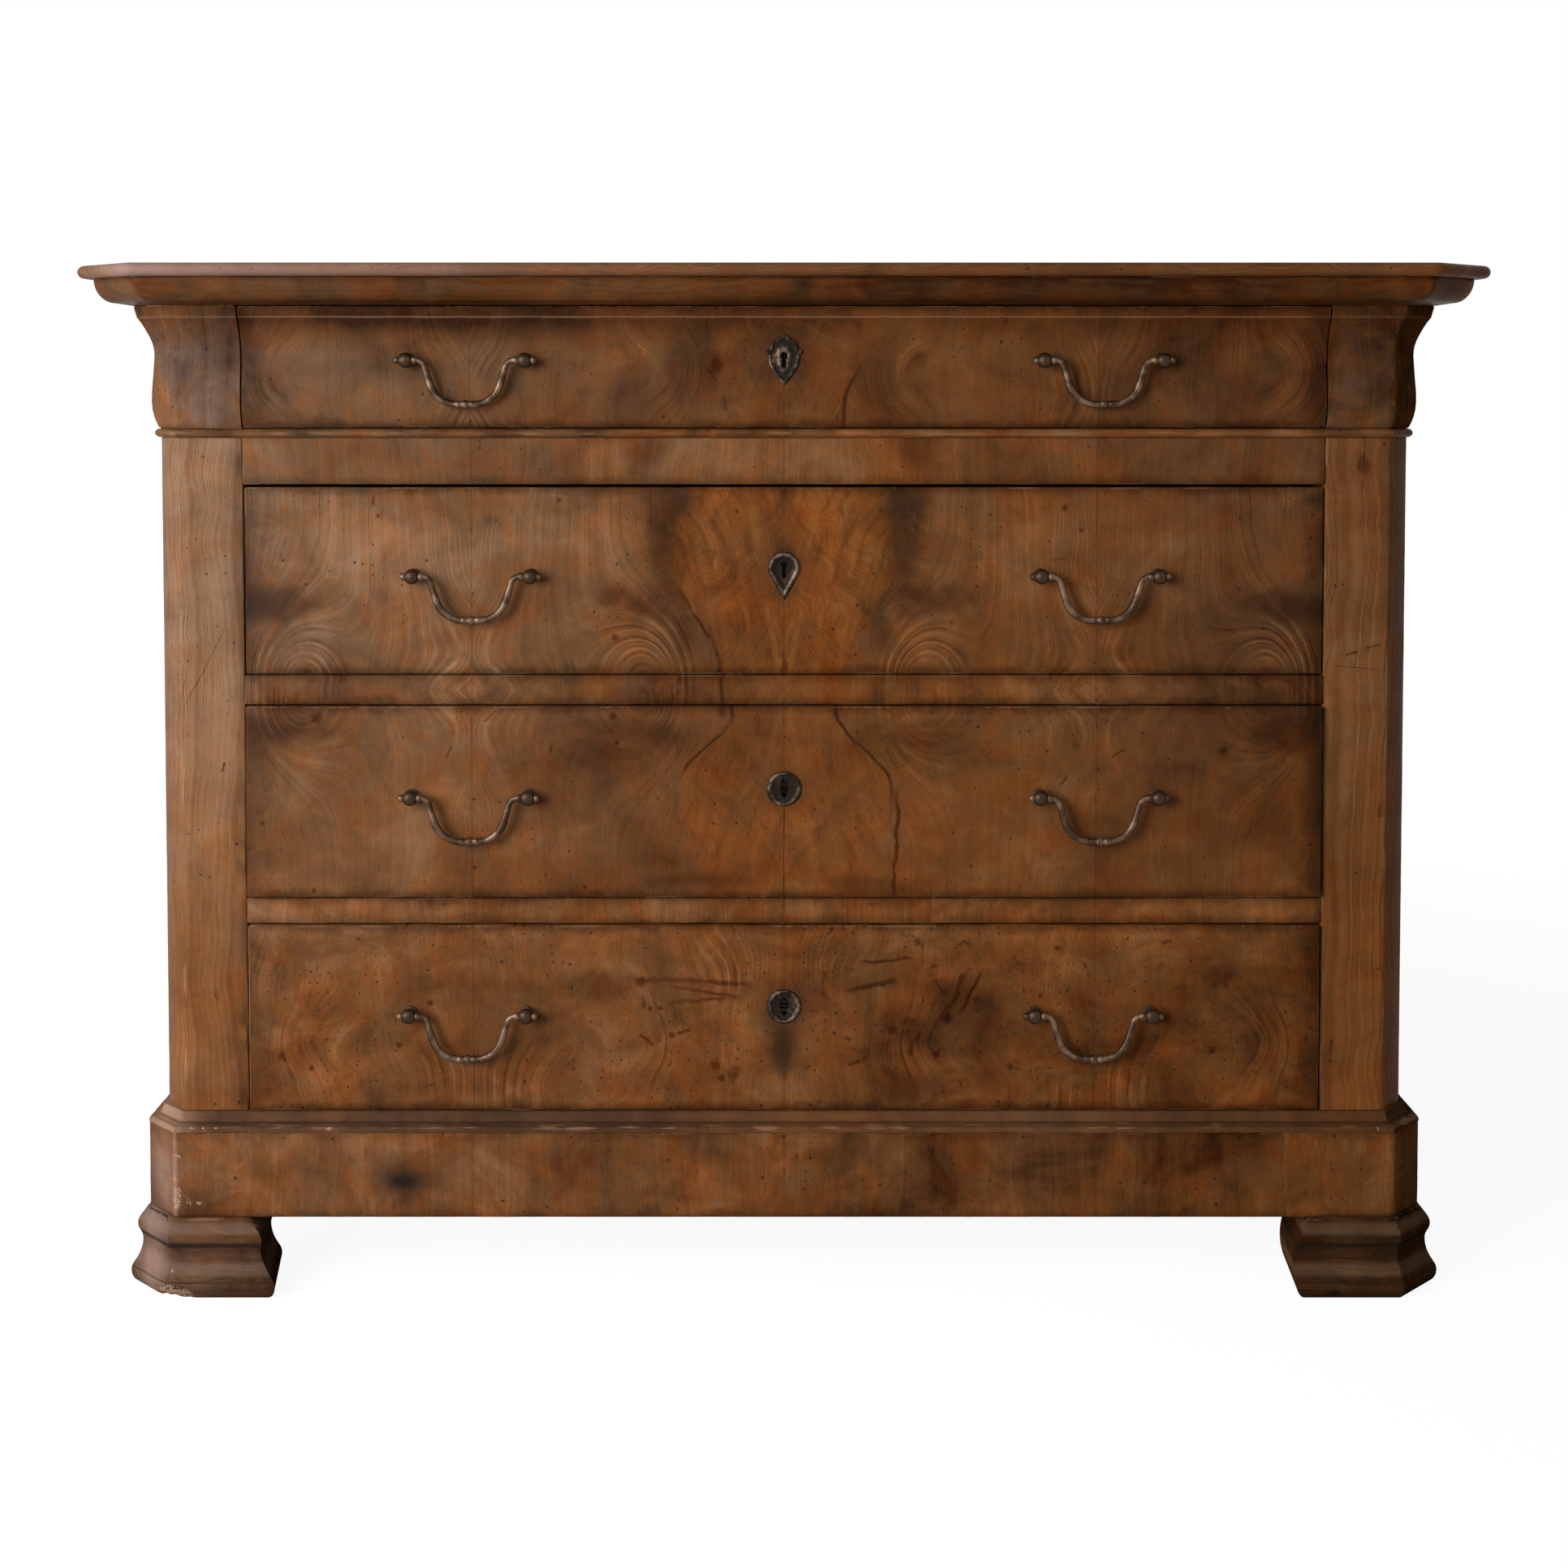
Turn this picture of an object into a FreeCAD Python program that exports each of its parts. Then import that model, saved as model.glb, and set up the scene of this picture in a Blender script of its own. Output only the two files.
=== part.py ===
import FreeCAD, Part
import math
import os

# Chest of drawers: a moulded top, a frieze drawer with an S-shaped front, three plain drawers
# between canted stiles, a plinth and two moulded front feet. Millimetres, +Z up, front towards -Y.
# The origin is on the floor, under the middle of the top.

Vector = FreeCAD.Vector

# Overall sizes
top_width = 1300.0
top_depth = 590.0
top_thickness = 12.0
top_overhang = 67.5
cant = 22.0
overrun = 5.0

# Heights of the front, stacked from the floor up
foot_height = 72.0
plinth_height = 80.0
plinth_moulding_height = 16.0
lower_opening_height = 176.5
lower_rail_height = 23.5
middle_opening_height = 182.0
middle_rail_height = 27.0
upper_opening_height = 178.0
upper_rail_height = 43.0
bead_height = 8.5
frieze_height = 113.5
cornice_height = 24.5

# Projections of the mouldings in front of the stiles
cornice_projection = 54.4
cornice_lip = 21.0
cornice_round = 17.4
cornice_underside_rise = 2.5
cornice_backing = 30.0
frieze_projection = 22.0
frieze_backing = 24.0
bead_projection = 5.3
plinth_projection = 17.0
plinth_moulding_fillet = 4.5
plinth_moulding_lip = 2.0
foot_projection = 33.4

# Carcass
stile_width = 81.0
stile_depth = 60.0
rear_post_width = 60.0
rear_post_depth = 45.0
side_panel_thickness = 18.0
side_panel_recess = 6.0
panel_tongue = 8.0
back_board_thickness = 12.0
back_board_count = 5
back_rebate = 10.0
bottom_board_thickness = 20.0
tenon_length = 15.0
tenon_thickness = 20.0
tenon_shoulder = 4.0
runner_thickness = 20.0
runner_ledge_width = 27.0
guide_height = 25.0
stop_width = 40.0
stop_depth = 14.0
stop_height = 6.0
stop_spacing = 600.0
foot_width = 65.5
foot_depth = 50.0

# Drawers
drawer_end_gap = 1.5
frieze_drawer_gap = 1.0
upper_drawer_gap_below = 1.5
upper_drawer_gap_above = 3.0
middle_drawer_gap_below = 2.0
middle_drawer_gap_above = 1.5
middle_drawer_proud = 5.0
lower_drawer_gap_below = 1.0
lower_drawer_gap_above = 1.8
lower_drawer_proud = 3.0
front_thickness = 22.0
frieze_front_backing = 20.0
side_thickness = 12.0
side_running_gap = 0.2
side_top_gap = 5.0
drawer_rear_gap = 30.5
back_thickness = 12.0
back_top_gap = 8.0
bottom_thickness = 7.0
bottom_rise = 9.0
bottom_groove = 6.0
tail_length = 16.0
tail_height = 26.0
tail_flare = 3.0
tail_pitch = 42.0

# Locks
lock_width = 64.0
lock_depth = 12.0
lock_wall = 1.6
lock_below_key = 15.0
bolt_width = 24.0
bolt_thickness = 5.0
bolt_travel = 9.0
bolt_tail_height = 14.0
bolt_clearance = 0.3
mortise_margin = 1.0
key_hole_radius = 3.0
key_slot_width = 3.4
key_slot_length = 13.0
key_pin_radius = 1.4

# Keyhole plates
plate_thickness = 1.6
shield_width = 29.3
shield_height = 46.5
shield_ear_radius = 2.4
shield_ear_spacing = 31.0
shield_ear_rise = 8.5
drop_width = 29.4
drop_height = 44.5
drop_rim = 4.2
third_disc_radius = 16.3
fourth_disc_radius = 16.0

# Handles
handle_span = 109.0
handle_standoff = 12.0
handle_drop = 40.5
bail_radius = 2.25
bail_pin_radius = 2.0
bail_shoulder_half = 38.8
bail_foot_half = 26.6
bail_upper_bend = 8.0
bail_lower_bend = 26.0
bail_bead_radius = 3.5
bail_ring_radius = 3.1
bail_ring_width = 1.6
bail_ring_offset = 4.6
tip_radius = 2.8
post_ball_radius = 6.0
post_neck_radius = 3.0
post_collar_radius = 5.0
post_collar_height = 1.6
post_stem_radius = 2.5
post_stem_clearance = 0.1
pin_clearance = 0.06
bail_end_play = 0.4
nut_width = 12.0
nut_thickness = 4.0
stem_past_nut = 2.0

# Places worked out from the sizes above
carcass_half = top_width / 2 - top_overhang
opening_half = carcass_half - stile_width
face_y = top_overhang - top_depth / 2
back_y = top_depth / 2
panel_inner_x = carcass_half - side_panel_recess - side_panel_thickness
frieze_inner_x = carcass_half - frieze_backing

plinth_top = foot_height + plinth_height
lower_opening_bottom = plinth_top + plinth_moulding_height
lower_opening_top = lower_opening_bottom + lower_opening_height
middle_opening_bottom = lower_opening_top + lower_rail_height
middle_opening_top = middle_opening_bottom + middle_opening_height
upper_opening_bottom = middle_opening_top + middle_rail_height
upper_opening_top = upper_opening_bottom + upper_opening_height
bead_bottom = upper_opening_top + upper_rail_height
frieze_bottom = bead_bottom + bead_height
frieze_top = frieze_bottom + frieze_height
cornice_top = frieze_top + cornice_height
top_surface = cornice_top + top_thickness

# Places within a piece, as shares of that piece's own size
plinth_lip_share = 0.33
plinth_hollow_share = 0.25
key_head_share = 0.25

# Outlines as shares: height up the moulding, then projection, both of the moulding's own size
frieze_profile_shares = ((0.0, 0.05), (0.05, 0.18), (0.12, 0.29), (0.20, 0.345), (0.32, 0.33),
                         (0.45, 0.275), (0.55, 0.235), (0.64, 0.235), (0.72, 0.335),
                         (0.80, 0.53), (0.86, 0.70), (0.905, 0.87))
foot_profile_shares = ((0.0, 0.78), (0.05, 0.92), (0.14, 1.0), (0.23, 0.985), (0.32, 0.87),
                       (0.42, 0.76), (0.55, 0.70), (0.64, 0.72), (0.72, 0.80), (0.80, 0.825),
                       (0.88, 0.76), (0.95, 0.64), (1.0, 0.56))
foot_bow_shares = ((0.0, 0.67), (0.06, 0.80), (0.20, 0.94), (0.45, 1.04), (0.72, 1.0), (1.0, 0.82))
shield_outline_shares = ((0.0, -0.5), (0.26, -0.31), (0.44, -0.10), (0.5, 0.14), (0.42, 0.31),
                         (0.24, 0.42), (0.0, 0.5))

# Each drawer: its opening, the gaps round its front and how far that stands out, then the drop of
# its keyhole and handles as shares of the opening's height, and the handles' places as shares of
# half its width
drawers = (
    {"name": "drawer_1", "bottom": frieze_bottom, "top": frieze_top,
     "gap_below": frieze_drawer_gap, "gap_above": frieze_drawer_gap, "proud": 0.0,
     "key_drop_share": 0.437, "handle_drop_share": 0.444, "handle_shares": (-0.5833, 0.5856)},
    {"name": "drawer_2", "bottom": upper_opening_bottom, "top": upper_opening_top,
     "gap_below": upper_drawer_gap_below, "gap_above": upper_drawer_gap_above, "proud": 0.0,
     "key_drop_share": 0.435, "handle_drop_share": 0.4765, "handle_shares": (-0.5763, 0.5829)},
    {"name": "drawer_3", "bottom": middle_opening_bottom, "top": middle_opening_top,
     "gap_below": middle_drawer_gap_below, "gap_above": middle_drawer_gap_above,
     "proud": middle_drawer_proud,
     "key_drop_share": 0.4285, "handle_drop_share": 0.4655, "handle_shares": (-0.5809, 0.5817)},
    {"name": "drawer_4", "bottom": lower_opening_bottom, "top": lower_opening_top,
     "gap_below": lower_drawer_gap_below, "gap_above": lower_drawer_gap_above,
     "proud": lower_drawer_proud,
     "key_drop_share": 0.4395, "handle_drop_share": 0.4735, "handle_shares": (-0.587, 0.5733)},
)


def box(x0, x1, y0, y1, z0, z1):
    return Part.makeBox(x1 - x0, y1 - y0, z1 - z0, Vector(x0, y0, z0))


def mirrored(shape):
    return shape.mirror(Vector(0, 0, 0), Vector(1, 0, 0))


def plan_prism(points, z0, z1):
    corners = [Vector(x, y, z0) for x, y in points]
    outline = Part.makePolygon(corners + corners[:1])
    return Part.Face(outline).extrude(Vector(0, 0, z1 - z0))


def save(name, *solids):
    shape = solids[0] if len(solids) == 1 else Part.makeCompound(list(solids))
    shape.exportStep("parts/" + name + ".step")


# Mouldings are drawn as (projection, height) outlines that run upwards. Each outline is closed
# behind by a flat back, then pushed along its face of the carcass.
def straight(*points):
    return [Part.makeLine(Vector(a[0], 0, a[1]), Vector(b[0], 0, b[1]))
            for a, b in zip(points, points[1:])]


def curved(points):
    spline = Part.BSplineCurve()
    spline.interpolate([Vector(x, 0, z) for x, z in points])
    return [spline.toShape()]


def closed_outline(edges, backing):
    first = edges[0].Vertexes[0].Point
    last = edges[-1].Vertexes[-1].Point
    behind = straight((last.x, last.z), (-backing, last.z), (-backing, first.z), (first.x, first.z))
    return Part.Face(Part.Wire(edges + behind))


def along_face(outline, normal_angle, face_point):
    reach = top_width + top_depth
    prism = outline.extrude(Vector(0, 2 * reach, 0))
    prism.translate(Vector(0, -reach, 0))
    prism.rotate(Vector(0, 0, 0), Vector(0, 0, 1), normal_angle)
    prism.translate(Vector(face_point[0], face_point[1], 0))
    return prism


def front_run(outline):
    return along_face(outline, -90, (0, face_y))


def cant_run(outline):
    return along_face(outline, -135, (cant / 2 - carcass_half, face_y + cant / 2))


def side_run(outline):
    return along_face(outline, 180, (-carcass_half, 0))


def plan_corners(projection):
    """The left half of the carcass outline in plan, pushed outwards by projection."""
    slip = projection * math.tan(math.radians(22.5))
    return ((-carcass_half - projection, back_y),
            (-carcass_half - projection, face_y + cant - slip),
            (cant - carcass_half - slip, face_y - projection))


def mitred_lengths(outline, backing, projection, z0, z1):
    """Front, two canted corners and two sides, each cut off square or at its mitres."""
    inner = plan_corners(-backing)
    outer = plan_corners(projection + overrun)
    front = plan_prism((inner[2], (-inner[2][0], inner[2][1]), (-outer[2][0], outer[2][1]),
                        outer[2]), z0, z1)
    corner = plan_prism((inner[1], inner[2], outer[2], outer[1]), z0, z1)
    side = plan_prism((inner[0], inner[1], outer[1], outer[0]), z0, z1)
    corner_piece = cant_run(outline).common(corner)
    side_piece = side_run(outline).common(side)
    return (front_run(outline).common(front), corner_piece, mirrored(corner_piece),
            side_piece, mirrored(side_piece))


def frieze_outline(backing):
    points = [(offset * frieze_projection, frieze_bottom + height * frieze_height)
              for height, offset in frieze_profile_shares]
    return closed_outline(curved(points) + straight(points[-1], (frieze_projection, frieze_top)),
                          backing)


def frieze_face_offset(z):
    """How far the frieze stands out at a height, between the outline's points."""
    height = (z - frieze_bottom) / frieze_height
    for low, high in zip(frieze_profile_shares, frieze_profile_shares[1:]):
        if low[0] <= height <= high[0]:
            share = (height - low[0]) / (high[0] - low[0])
            return frieze_projection * (low[1] + share * (high[1] - low[1]))
    return frieze_projection


def make_top():
    nose = top_thickness / 2
    flat = top_overhang - nose
    edge = Part.Arc(Vector(flat, 0, cornice_top), Vector(top_overhang, 0, cornice_top + nose),
                    Vector(flat, 0, top_surface)).toShape()
    outline = closed_outline([edge], top_width)
    left = cant_run(outline).common(side_run(outline))
    board = front_run(outline).common(left).common(mirrored(left))
    rear = box(-top_width, top_width, -top_depth, back_y, 0, top_surface + overrun)
    return board.common(rear)


def cornice_outline():
    centre_x = cornice_projection - cornice_round
    drop = cornice_height - cornice_underside_rise
    turns = [math.radians(angle) for angle in (-90, -72, -54, -36, -18, 0)]
    quarter = [(centre_x + cornice_round * math.cos(t), cornice_top + drop * math.sin(t))
               for t in turns]
    underside = straight((cornice_lip, frieze_top), quarter[0])
    return closed_outline(underside + curved(quarter), cornice_backing)


def make_cornice():
    lengths = mitred_lengths(cornice_outline(), cornice_backing, cornice_projection,
                             frieze_top, cornice_top)
    return (lengths[0].cut(bolt_mortise(drawers[0])),) + lengths[1:]


def make_frieze_block():
    outline = frieze_outline(stile_width)
    deep = frieze_outline(top_width)
    block = front_run(outline).common(side_run(deep)).common(cant_run(deep))
    block = block.common(box(-top_width, -opening_half, -top_depth, face_y + stile_depth,
                             frieze_bottom, frieze_top))
    return block.cut(post_core(face_y + frieze_backing, face_y + stile_depth, opening_half))


def post_core(y0, y1, inner_x):
    """The part of a post that runs up behind the applied frieze."""
    return box(-frieze_inner_x, -inner_x, y0, y1, frieze_bottom, frieze_top)


def make_frieze_side():
    length = box(-top_width, 0, face_y + stile_depth, back_y, 0, top_surface)
    return side_run(frieze_outline(frieze_backing)).common(length)


def make_beads():
    arc = Part.Arc(Vector(0, 0, bead_bottom),
                   Vector(bead_projection, 0, bead_bottom + bead_height / 2),
                   Vector(0, 0, frieze_bottom)).toShape()
    face = Part.Face(Part.Wire([arc] + straight((0, frieze_bottom), (0, bead_bottom))))
    return mitred_lengths(face, 0, bead_projection, bead_bottom, frieze_bottom)


def rails():
    """Name, bottom and top of each rail between two drawers."""
    return (("rail_upper", upper_opening_top, frieze_bottom),
            ("rail_middle", middle_opening_top, upper_opening_bottom),
            ("rail_lower", lower_opening_top, middle_opening_bottom))


def rail_tenon(z0, z1):
    y0 = face_y + (stile_depth - tenon_thickness) / 2
    return box(-opening_half - tenon_length, -opening_half, y0, y0 + tenon_thickness,
               z0 + tenon_shoulder, z1 - tenon_shoulder)


def make_rail(z0, z1, drawer_below):
    rail = box(-opening_half, opening_half, face_y, face_y + stile_depth, z0, z1)
    tenon = rail_tenon(z0, z1)
    return rail.fuse([tenon, mirrored(tenon)]).removeSplitter().cut(bolt_mortise(drawer_below))


def side_panel():
    return box(-carcass_half + side_panel_recess, -panel_inner_x,
               face_y + stile_depth - panel_tongue, back_y - rear_post_depth + panel_tongue,
               foot_height, frieze_bottom)


def make_stile():
    body = plan_prism(((-opening_half, face_y), (-opening_half, face_y + stile_depth),
                       (-carcass_half, face_y + stile_depth), (-carcass_half, face_y + cant),
                       (cant - carcass_half, face_y)), foot_height, frieze_bottom)
    core = post_core(face_y + frieze_backing, face_y + stile_depth, opening_half)
    stile = body.fuse(core).removeSplitter().cut(side_panel())
    for _, z0, z1 in rails():
        stile = stile.cut(rail_tenon(z0, z1))
    return stile


def back_space():
    half = carcass_half - rear_post_width + back_rebate
    return box(-half, half, back_y - back_board_thickness, back_y, foot_height, cornice_top)


def make_rear_post():
    inner_x = carcass_half - rear_post_width
    body = box(-carcass_half, -inner_x, back_y - rear_post_depth, back_y, 0, frieze_bottom)
    core = post_core(back_y - rear_post_depth, back_y, inner_x)
    return body.fuse(core).removeSplitter().cut([side_panel(), back_space()])


def make_back_boards():
    space = back_space().BoundBox
    width = (space.XMax - space.XMin) / back_board_count
    return [box(space.XMin + i * width, space.XMin + (i + 1) * width, space.YMin, space.YMax,
                space.ZMin, space.ZMax) for i in range(back_board_count)]


def make_bottom_board():
    board = box(-panel_inner_x, panel_inner_x, face_y, back_y - back_board_thickness,
                lower_opening_bottom - bottom_board_thickness, lower_opening_bottom)
    post = box(-carcass_half, rear_post_width - carcass_half, back_y - rear_post_depth, back_y,
               0, top_surface)
    stile = box(-carcass_half, -opening_half, face_y, face_y + stile_depth, 0, top_surface)
    return board.cut([post, stile, mirrored(post), mirrored(stile)])


def make_runner(level):
    y0 = face_y + stile_depth
    y1 = back_y - rear_post_depth
    guide = box(-panel_inner_x, -opening_half, y0, y1, level, level + guide_height)
    if level == lower_opening_bottom:
        return guide
    bearing = box(-panel_inner_x, runner_ledge_width - opening_half, y0, y1,
                  level - runner_thickness, level)
    return bearing.fuse(guide).removeSplitter()


def make_stop(drawer):
    y0 = front_back_y(drawer)
    x0 = -(stop_spacing + stop_width) / 2
    return box(x0, x0 + stop_width, y0, y0 + stop_depth, drawer["bottom"],
               drawer["bottom"] + stop_height)


def plinth_outline():
    return closed_outline(straight((plinth_projection, foot_height),
                                   (plinth_projection, plinth_top)), 0)


def plinth_moulding_outline():
    lip_top = plinth_top + plinth_moulding_height * plinth_lip_share
    fillet_bottom = lower_opening_bottom - plinth_moulding_lip
    lip = plinth_projection - plinth_moulding_lip
    start = Vector(lip, 0, lip_top)
    end = Vector(plinth_moulding_fillet, 0, fillet_bottom)
    sag = (lip - plinth_moulding_fillet) * plinth_hollow_share
    middle = Vector((start.x + end.x) / 2 - sag / 2, 0, (start.z + end.z) / 2 - sag)
    hollow = Part.Arc(start, middle, end).toShape()
    foot = straight((plinth_projection, plinth_top), (plinth_projection, lip_top - plinth_moulding_lip),
                    (lip, lip_top))
    head = straight((end.x, end.z), (end.x, lower_opening_bottom))
    return closed_outline(foot + [hollow] + head, 0)


def foot_outline(shares, backing):
    points = [(offset * foot_projection, height * foot_height) for height, offset in shares]
    return closed_outline(curved(points), backing)


def make_foot(inner_shares):
    outline = foot_outline(foot_profile_shares, top_width)
    block = front_run(outline).common(cant_run(outline)).common(side_run(outline))
    inner = along_face(foot_outline(inner_shares, top_width), 0, (foot_width - carcass_half, 0))
    rear = box(-top_width, 0, -top_depth, face_y + foot_depth, 0, foot_height)
    return block.common(inner).common(rear)


# Drawers. A drawer stands out of the face by its proud value, with all that it carries.
def front_back_y(drawer):
    backing = frieze_front_backing if drawer is drawers[0] else front_thickness
    return face_y + backing - drawer["proud"]


def drop_from_top(drawer, share):
    return drawer["top"] - share * (drawer["top"] - drawer["bottom"])


def key_height(drawer):
    return drop_from_top(drawer, drawer["key_drop_share"])


def key_head_height(drawer):
    """The middle of the keyhole's round head, which also holds the lock's pin."""
    return key_height(drawer) + key_slot_length * key_head_share


def handle_height(drawer):
    return drop_from_top(drawer, drawer["handle_drop_share"])


def handle_centres(drawer):
    return [share * opening_half for share in drawer["handle_shares"]]


def front_face_y(drawer, z):
    if drawer is drawers[0]:
        return face_y - frieze_face_offset(z)
    return face_y - drawer["proud"]


def keyhole_tool(drawer, y0, y1):
    z = key_head_height(drawer)
    hole = Part.makeCylinder(key_hole_radius, y1 - y0, Vector(0, y0, z), Vector(0, 1, 0))
    slot = box(-key_slot_width / 2, key_slot_width / 2, y0, y1, z - key_slot_length, z)
    return hole.fuse(slot)


def lock_space(drawer):
    back = front_back_y(drawer)
    return box(-lock_width / 2, lock_width / 2, back - lock_depth, back,
               key_height(drawer) - lock_below_key, drawer["top"] - drawer["gap_above"])


def bolt_y(drawer):
    return front_back_y(drawer) - lock_depth / 2


def bolt_mortise(drawer):
    margin = mortise_margin
    half = bolt_width / 2 + margin
    depth = bolt_thickness / 2 + margin
    return box(-half, half, bolt_y(drawer) - depth, bolt_y(drawer) + depth,
               drawer["top"], drawer["top"] - drawer["gap_above"] + bolt_travel + margin)


def tails(drawer):
    """Wedge-shaped tails on the left side, which lock into the front."""
    outer_x = drawer_end_gap - opening_half
    y1 = front_back_y(drawer)
    z0 = drawer["bottom"] + side_running_gap
    z1 = drawer["top"] - side_top_gap
    low = z0 + bottom_rise + bottom_thickness + tail_flare + (tail_pitch - tail_height) / 2
    count = int((z1 - tail_flare - low - tail_height) / tail_pitch) + 1
    wedges = []
    for i in range(count):
        foot = low + i * tail_pitch
        points = ((y1, foot), (y1, foot + tail_height),
                  (y1 - tail_length, foot + tail_height + tail_flare),
                  (y1 - tail_length, foot - tail_flare))
        corners = [Vector(outer_x, y, z) for y, z in points]
        wedge = Part.Face(Part.makePolygon(corners + corners[:1]))
        wedges.append(wedge.extrude(Vector(side_thickness, 0, 0)))
    return wedges


def box_end_y(drawer):
    return back_y - back_board_thickness - drawer_rear_gap - drawer["proud"]


def bottom_space(drawer):
    half = opening_half - drawer_end_gap - side_thickness + bottom_groove
    z0 = drawer["bottom"] + side_running_gap + bottom_rise
    return box(-half, half, front_back_y(drawer) - bottom_groove, box_end_y(drawer),
               z0, z0 + bottom_thickness)


def post_places(drawer):
    return [centre + side * handle_span / 2 for centre in handle_centres(drawer)
            for side in (-1, 1)]


def make_front(drawer):
    half = opening_half - drawer_end_gap
    z0 = drawer["bottom"] + drawer["gap_below"]
    z1 = drawer["top"] - drawer["gap_above"]
    space = box(-half, half, -top_depth, front_back_y(drawer), z0, z1)
    if drawer is drawers[0]:
        front = front_run(frieze_outline(frieze_front_backing)).common(space)
    else:
        front = space.common(box(-half, half, face_y - drawer["proud"], back_y, z0, z1))
    left_tails = tails(drawer)
    tools = left_tails + [mirrored(tail) for tail in left_tails]
    tools += [lock_space(drawer), bottom_space(drawer),
              keyhole_tool(drawer, -top_depth, front_back_y(drawer))]
    for x in post_places(drawer):
        tools.append(Part.makeCylinder(post_stem_radius + post_stem_clearance, top_depth,
                                       Vector(x, -top_depth, handle_height(drawer)),
                                       Vector(0, 1, 0)))
    return front.cut(tools)


def make_side(drawer):
    outer_x = drawer_end_gap - opening_half
    board = box(outer_x, outer_x + side_thickness, front_back_y(drawer), box_end_y(drawer),
                drawer["bottom"] + side_running_gap, drawer["top"] - side_top_gap)
    return board.fuse(tails(drawer)).removeSplitter().cut(bottom_space(drawer))


def make_back(drawer):
    half = opening_half - drawer_end_gap - side_thickness
    end = box_end_y(drawer)
    return box(-half, half, end - back_thickness, end, bottom_space(drawer).BoundBox.ZMax,
               drawer["top"] - side_top_gap - back_top_gap)


def make_lock(drawer):
    outer = lock_space(drawer)
    b = outer.BoundBox
    cavity = box(b.XMin + lock_wall, b.XMax - lock_wall, b.YMin + lock_wall, b.YMax - lock_wall,
                 b.ZMin + lock_wall, b.ZMax - lock_wall)
    half = bolt_width / 2 + bolt_clearance
    depth = bolt_thickness / 2 + bolt_clearance
    slot = box(-half, half, bolt_y(drawer) - depth, bolt_y(drawer) + depth,
               b.ZMax - lock_wall - overrun, b.ZMax + overrun)
    keyhole = keyhole_tool(drawer, b.YMin - overrun, b.YMin + lock_wall + overrun)
    pin = Part.makeCylinder(key_pin_radius, b.YLength, Vector(0, b.YMin, key_head_height(drawer)),
                            Vector(0, 1, 0))
    return outer.cut([cavity, slot, keyhole]).fuse(pin)


def make_bolt(drawer):
    b = lock_space(drawer).BoundBox
    foot = key_head_height(drawer) + key_hole_radius + bolt_clearance
    y0 = bolt_y(drawer) - bolt_thickness / 2
    y1 = y0 + bolt_thickness
    head = box(-bolt_width / 2, bolt_width / 2, y0, y1, foot, b.ZMax)
    half = lock_width / 2 - lock_wall - bolt_clearance
    tail = box(-half, half, y0, y1, foot, foot + bolt_tail_height)
    return head.fuse(tail).removeSplitter()


def shield_plate(drawer):
    """A pointed shield with two ears, bent to lie on the S-shaped front."""
    z = key_height(drawer)
    right = [(share_x * shield_width, z + share_z * shield_height)
             for share_x, share_z in shield_outline_shares]
    left = [(-x, height) for x, height in reversed(right)]
    blank = Part.Face(Part.Wire(curved(right) + curved(left))).extrude(Vector(0, top_depth, 0))
    blank.translate(Vector(0, -top_depth, 0))
    for side in (-1, 1):
        ear_x = side * shield_ear_spacing / 2
        blank = blank.fuse(Part.makeCylinder(shield_ear_radius, top_depth, Vector(
            ear_x, -top_depth, z + shield_ear_rise), Vector(0, 1, 0)))
    front = front_run(frieze_outline(0))
    skin = front.translated(Vector(0, -plate_thickness, 0)).cut(front)
    return skin.common(blank)


def disc_plate(drawer, radius):
    y = front_face_y(drawer, key_height(drawer))
    return Part.makeCylinder(radius, plate_thickness, Vector(0, y - plate_thickness,
                             key_height(drawer)), Vector(0, 1, 0))


def drop_outline(drawer, inset):
    """A drop: a round head that runs to a point below."""
    radius = drop_width / 2 - inset
    centre_z = key_height(drawer)
    point_z = centre_z + drop_width / 2 - drop_height + 2 * inset
    turn = math.acos(radius / (centre_z - point_z))
    y = front_face_y(drawer, centre_z)
    tangent_x = radius * math.sin(turn)
    tangent_z = centre_z - radius * math.cos(turn)
    head = Part.Arc(Vector(tangent_x, y, tangent_z), Vector(0, y, centre_z + radius),
                    Vector(-tangent_x, y, tangent_z)).toShape()
    sides = [Part.makeLine(Vector(-tangent_x, y, tangent_z), Vector(0, y, point_z)),
             Part.makeLine(Vector(0, y, point_z), Vector(tangent_x, y, tangent_z))]
    return Part.Face(Part.Wire([head] + sides)).extrude(Vector(0, -plate_thickness, 0))


def make_plate(drawer):
    if drawer is drawers[0]:
        plate = shield_plate(drawer)
    elif drawer is drawers[1]:
        return drop_outline(drawer, 0).cut(drop_outline(drawer, drop_rim))
    elif drawer is drawers[2]:
        plate = disc_plate(drawer, third_disc_radius)
    else:
        plate = disc_plate(drawer, fourth_disc_radius)
    return plate.cut(keyhole_tool(drawer, -top_depth, face_y))


# Handles. A bail hangs from two ball-headed posts, and turns on the pins at its ends.
def axis_y(drawer):
    return front_face_y(drawer, handle_height(drawer)) - handle_standoff


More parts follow.
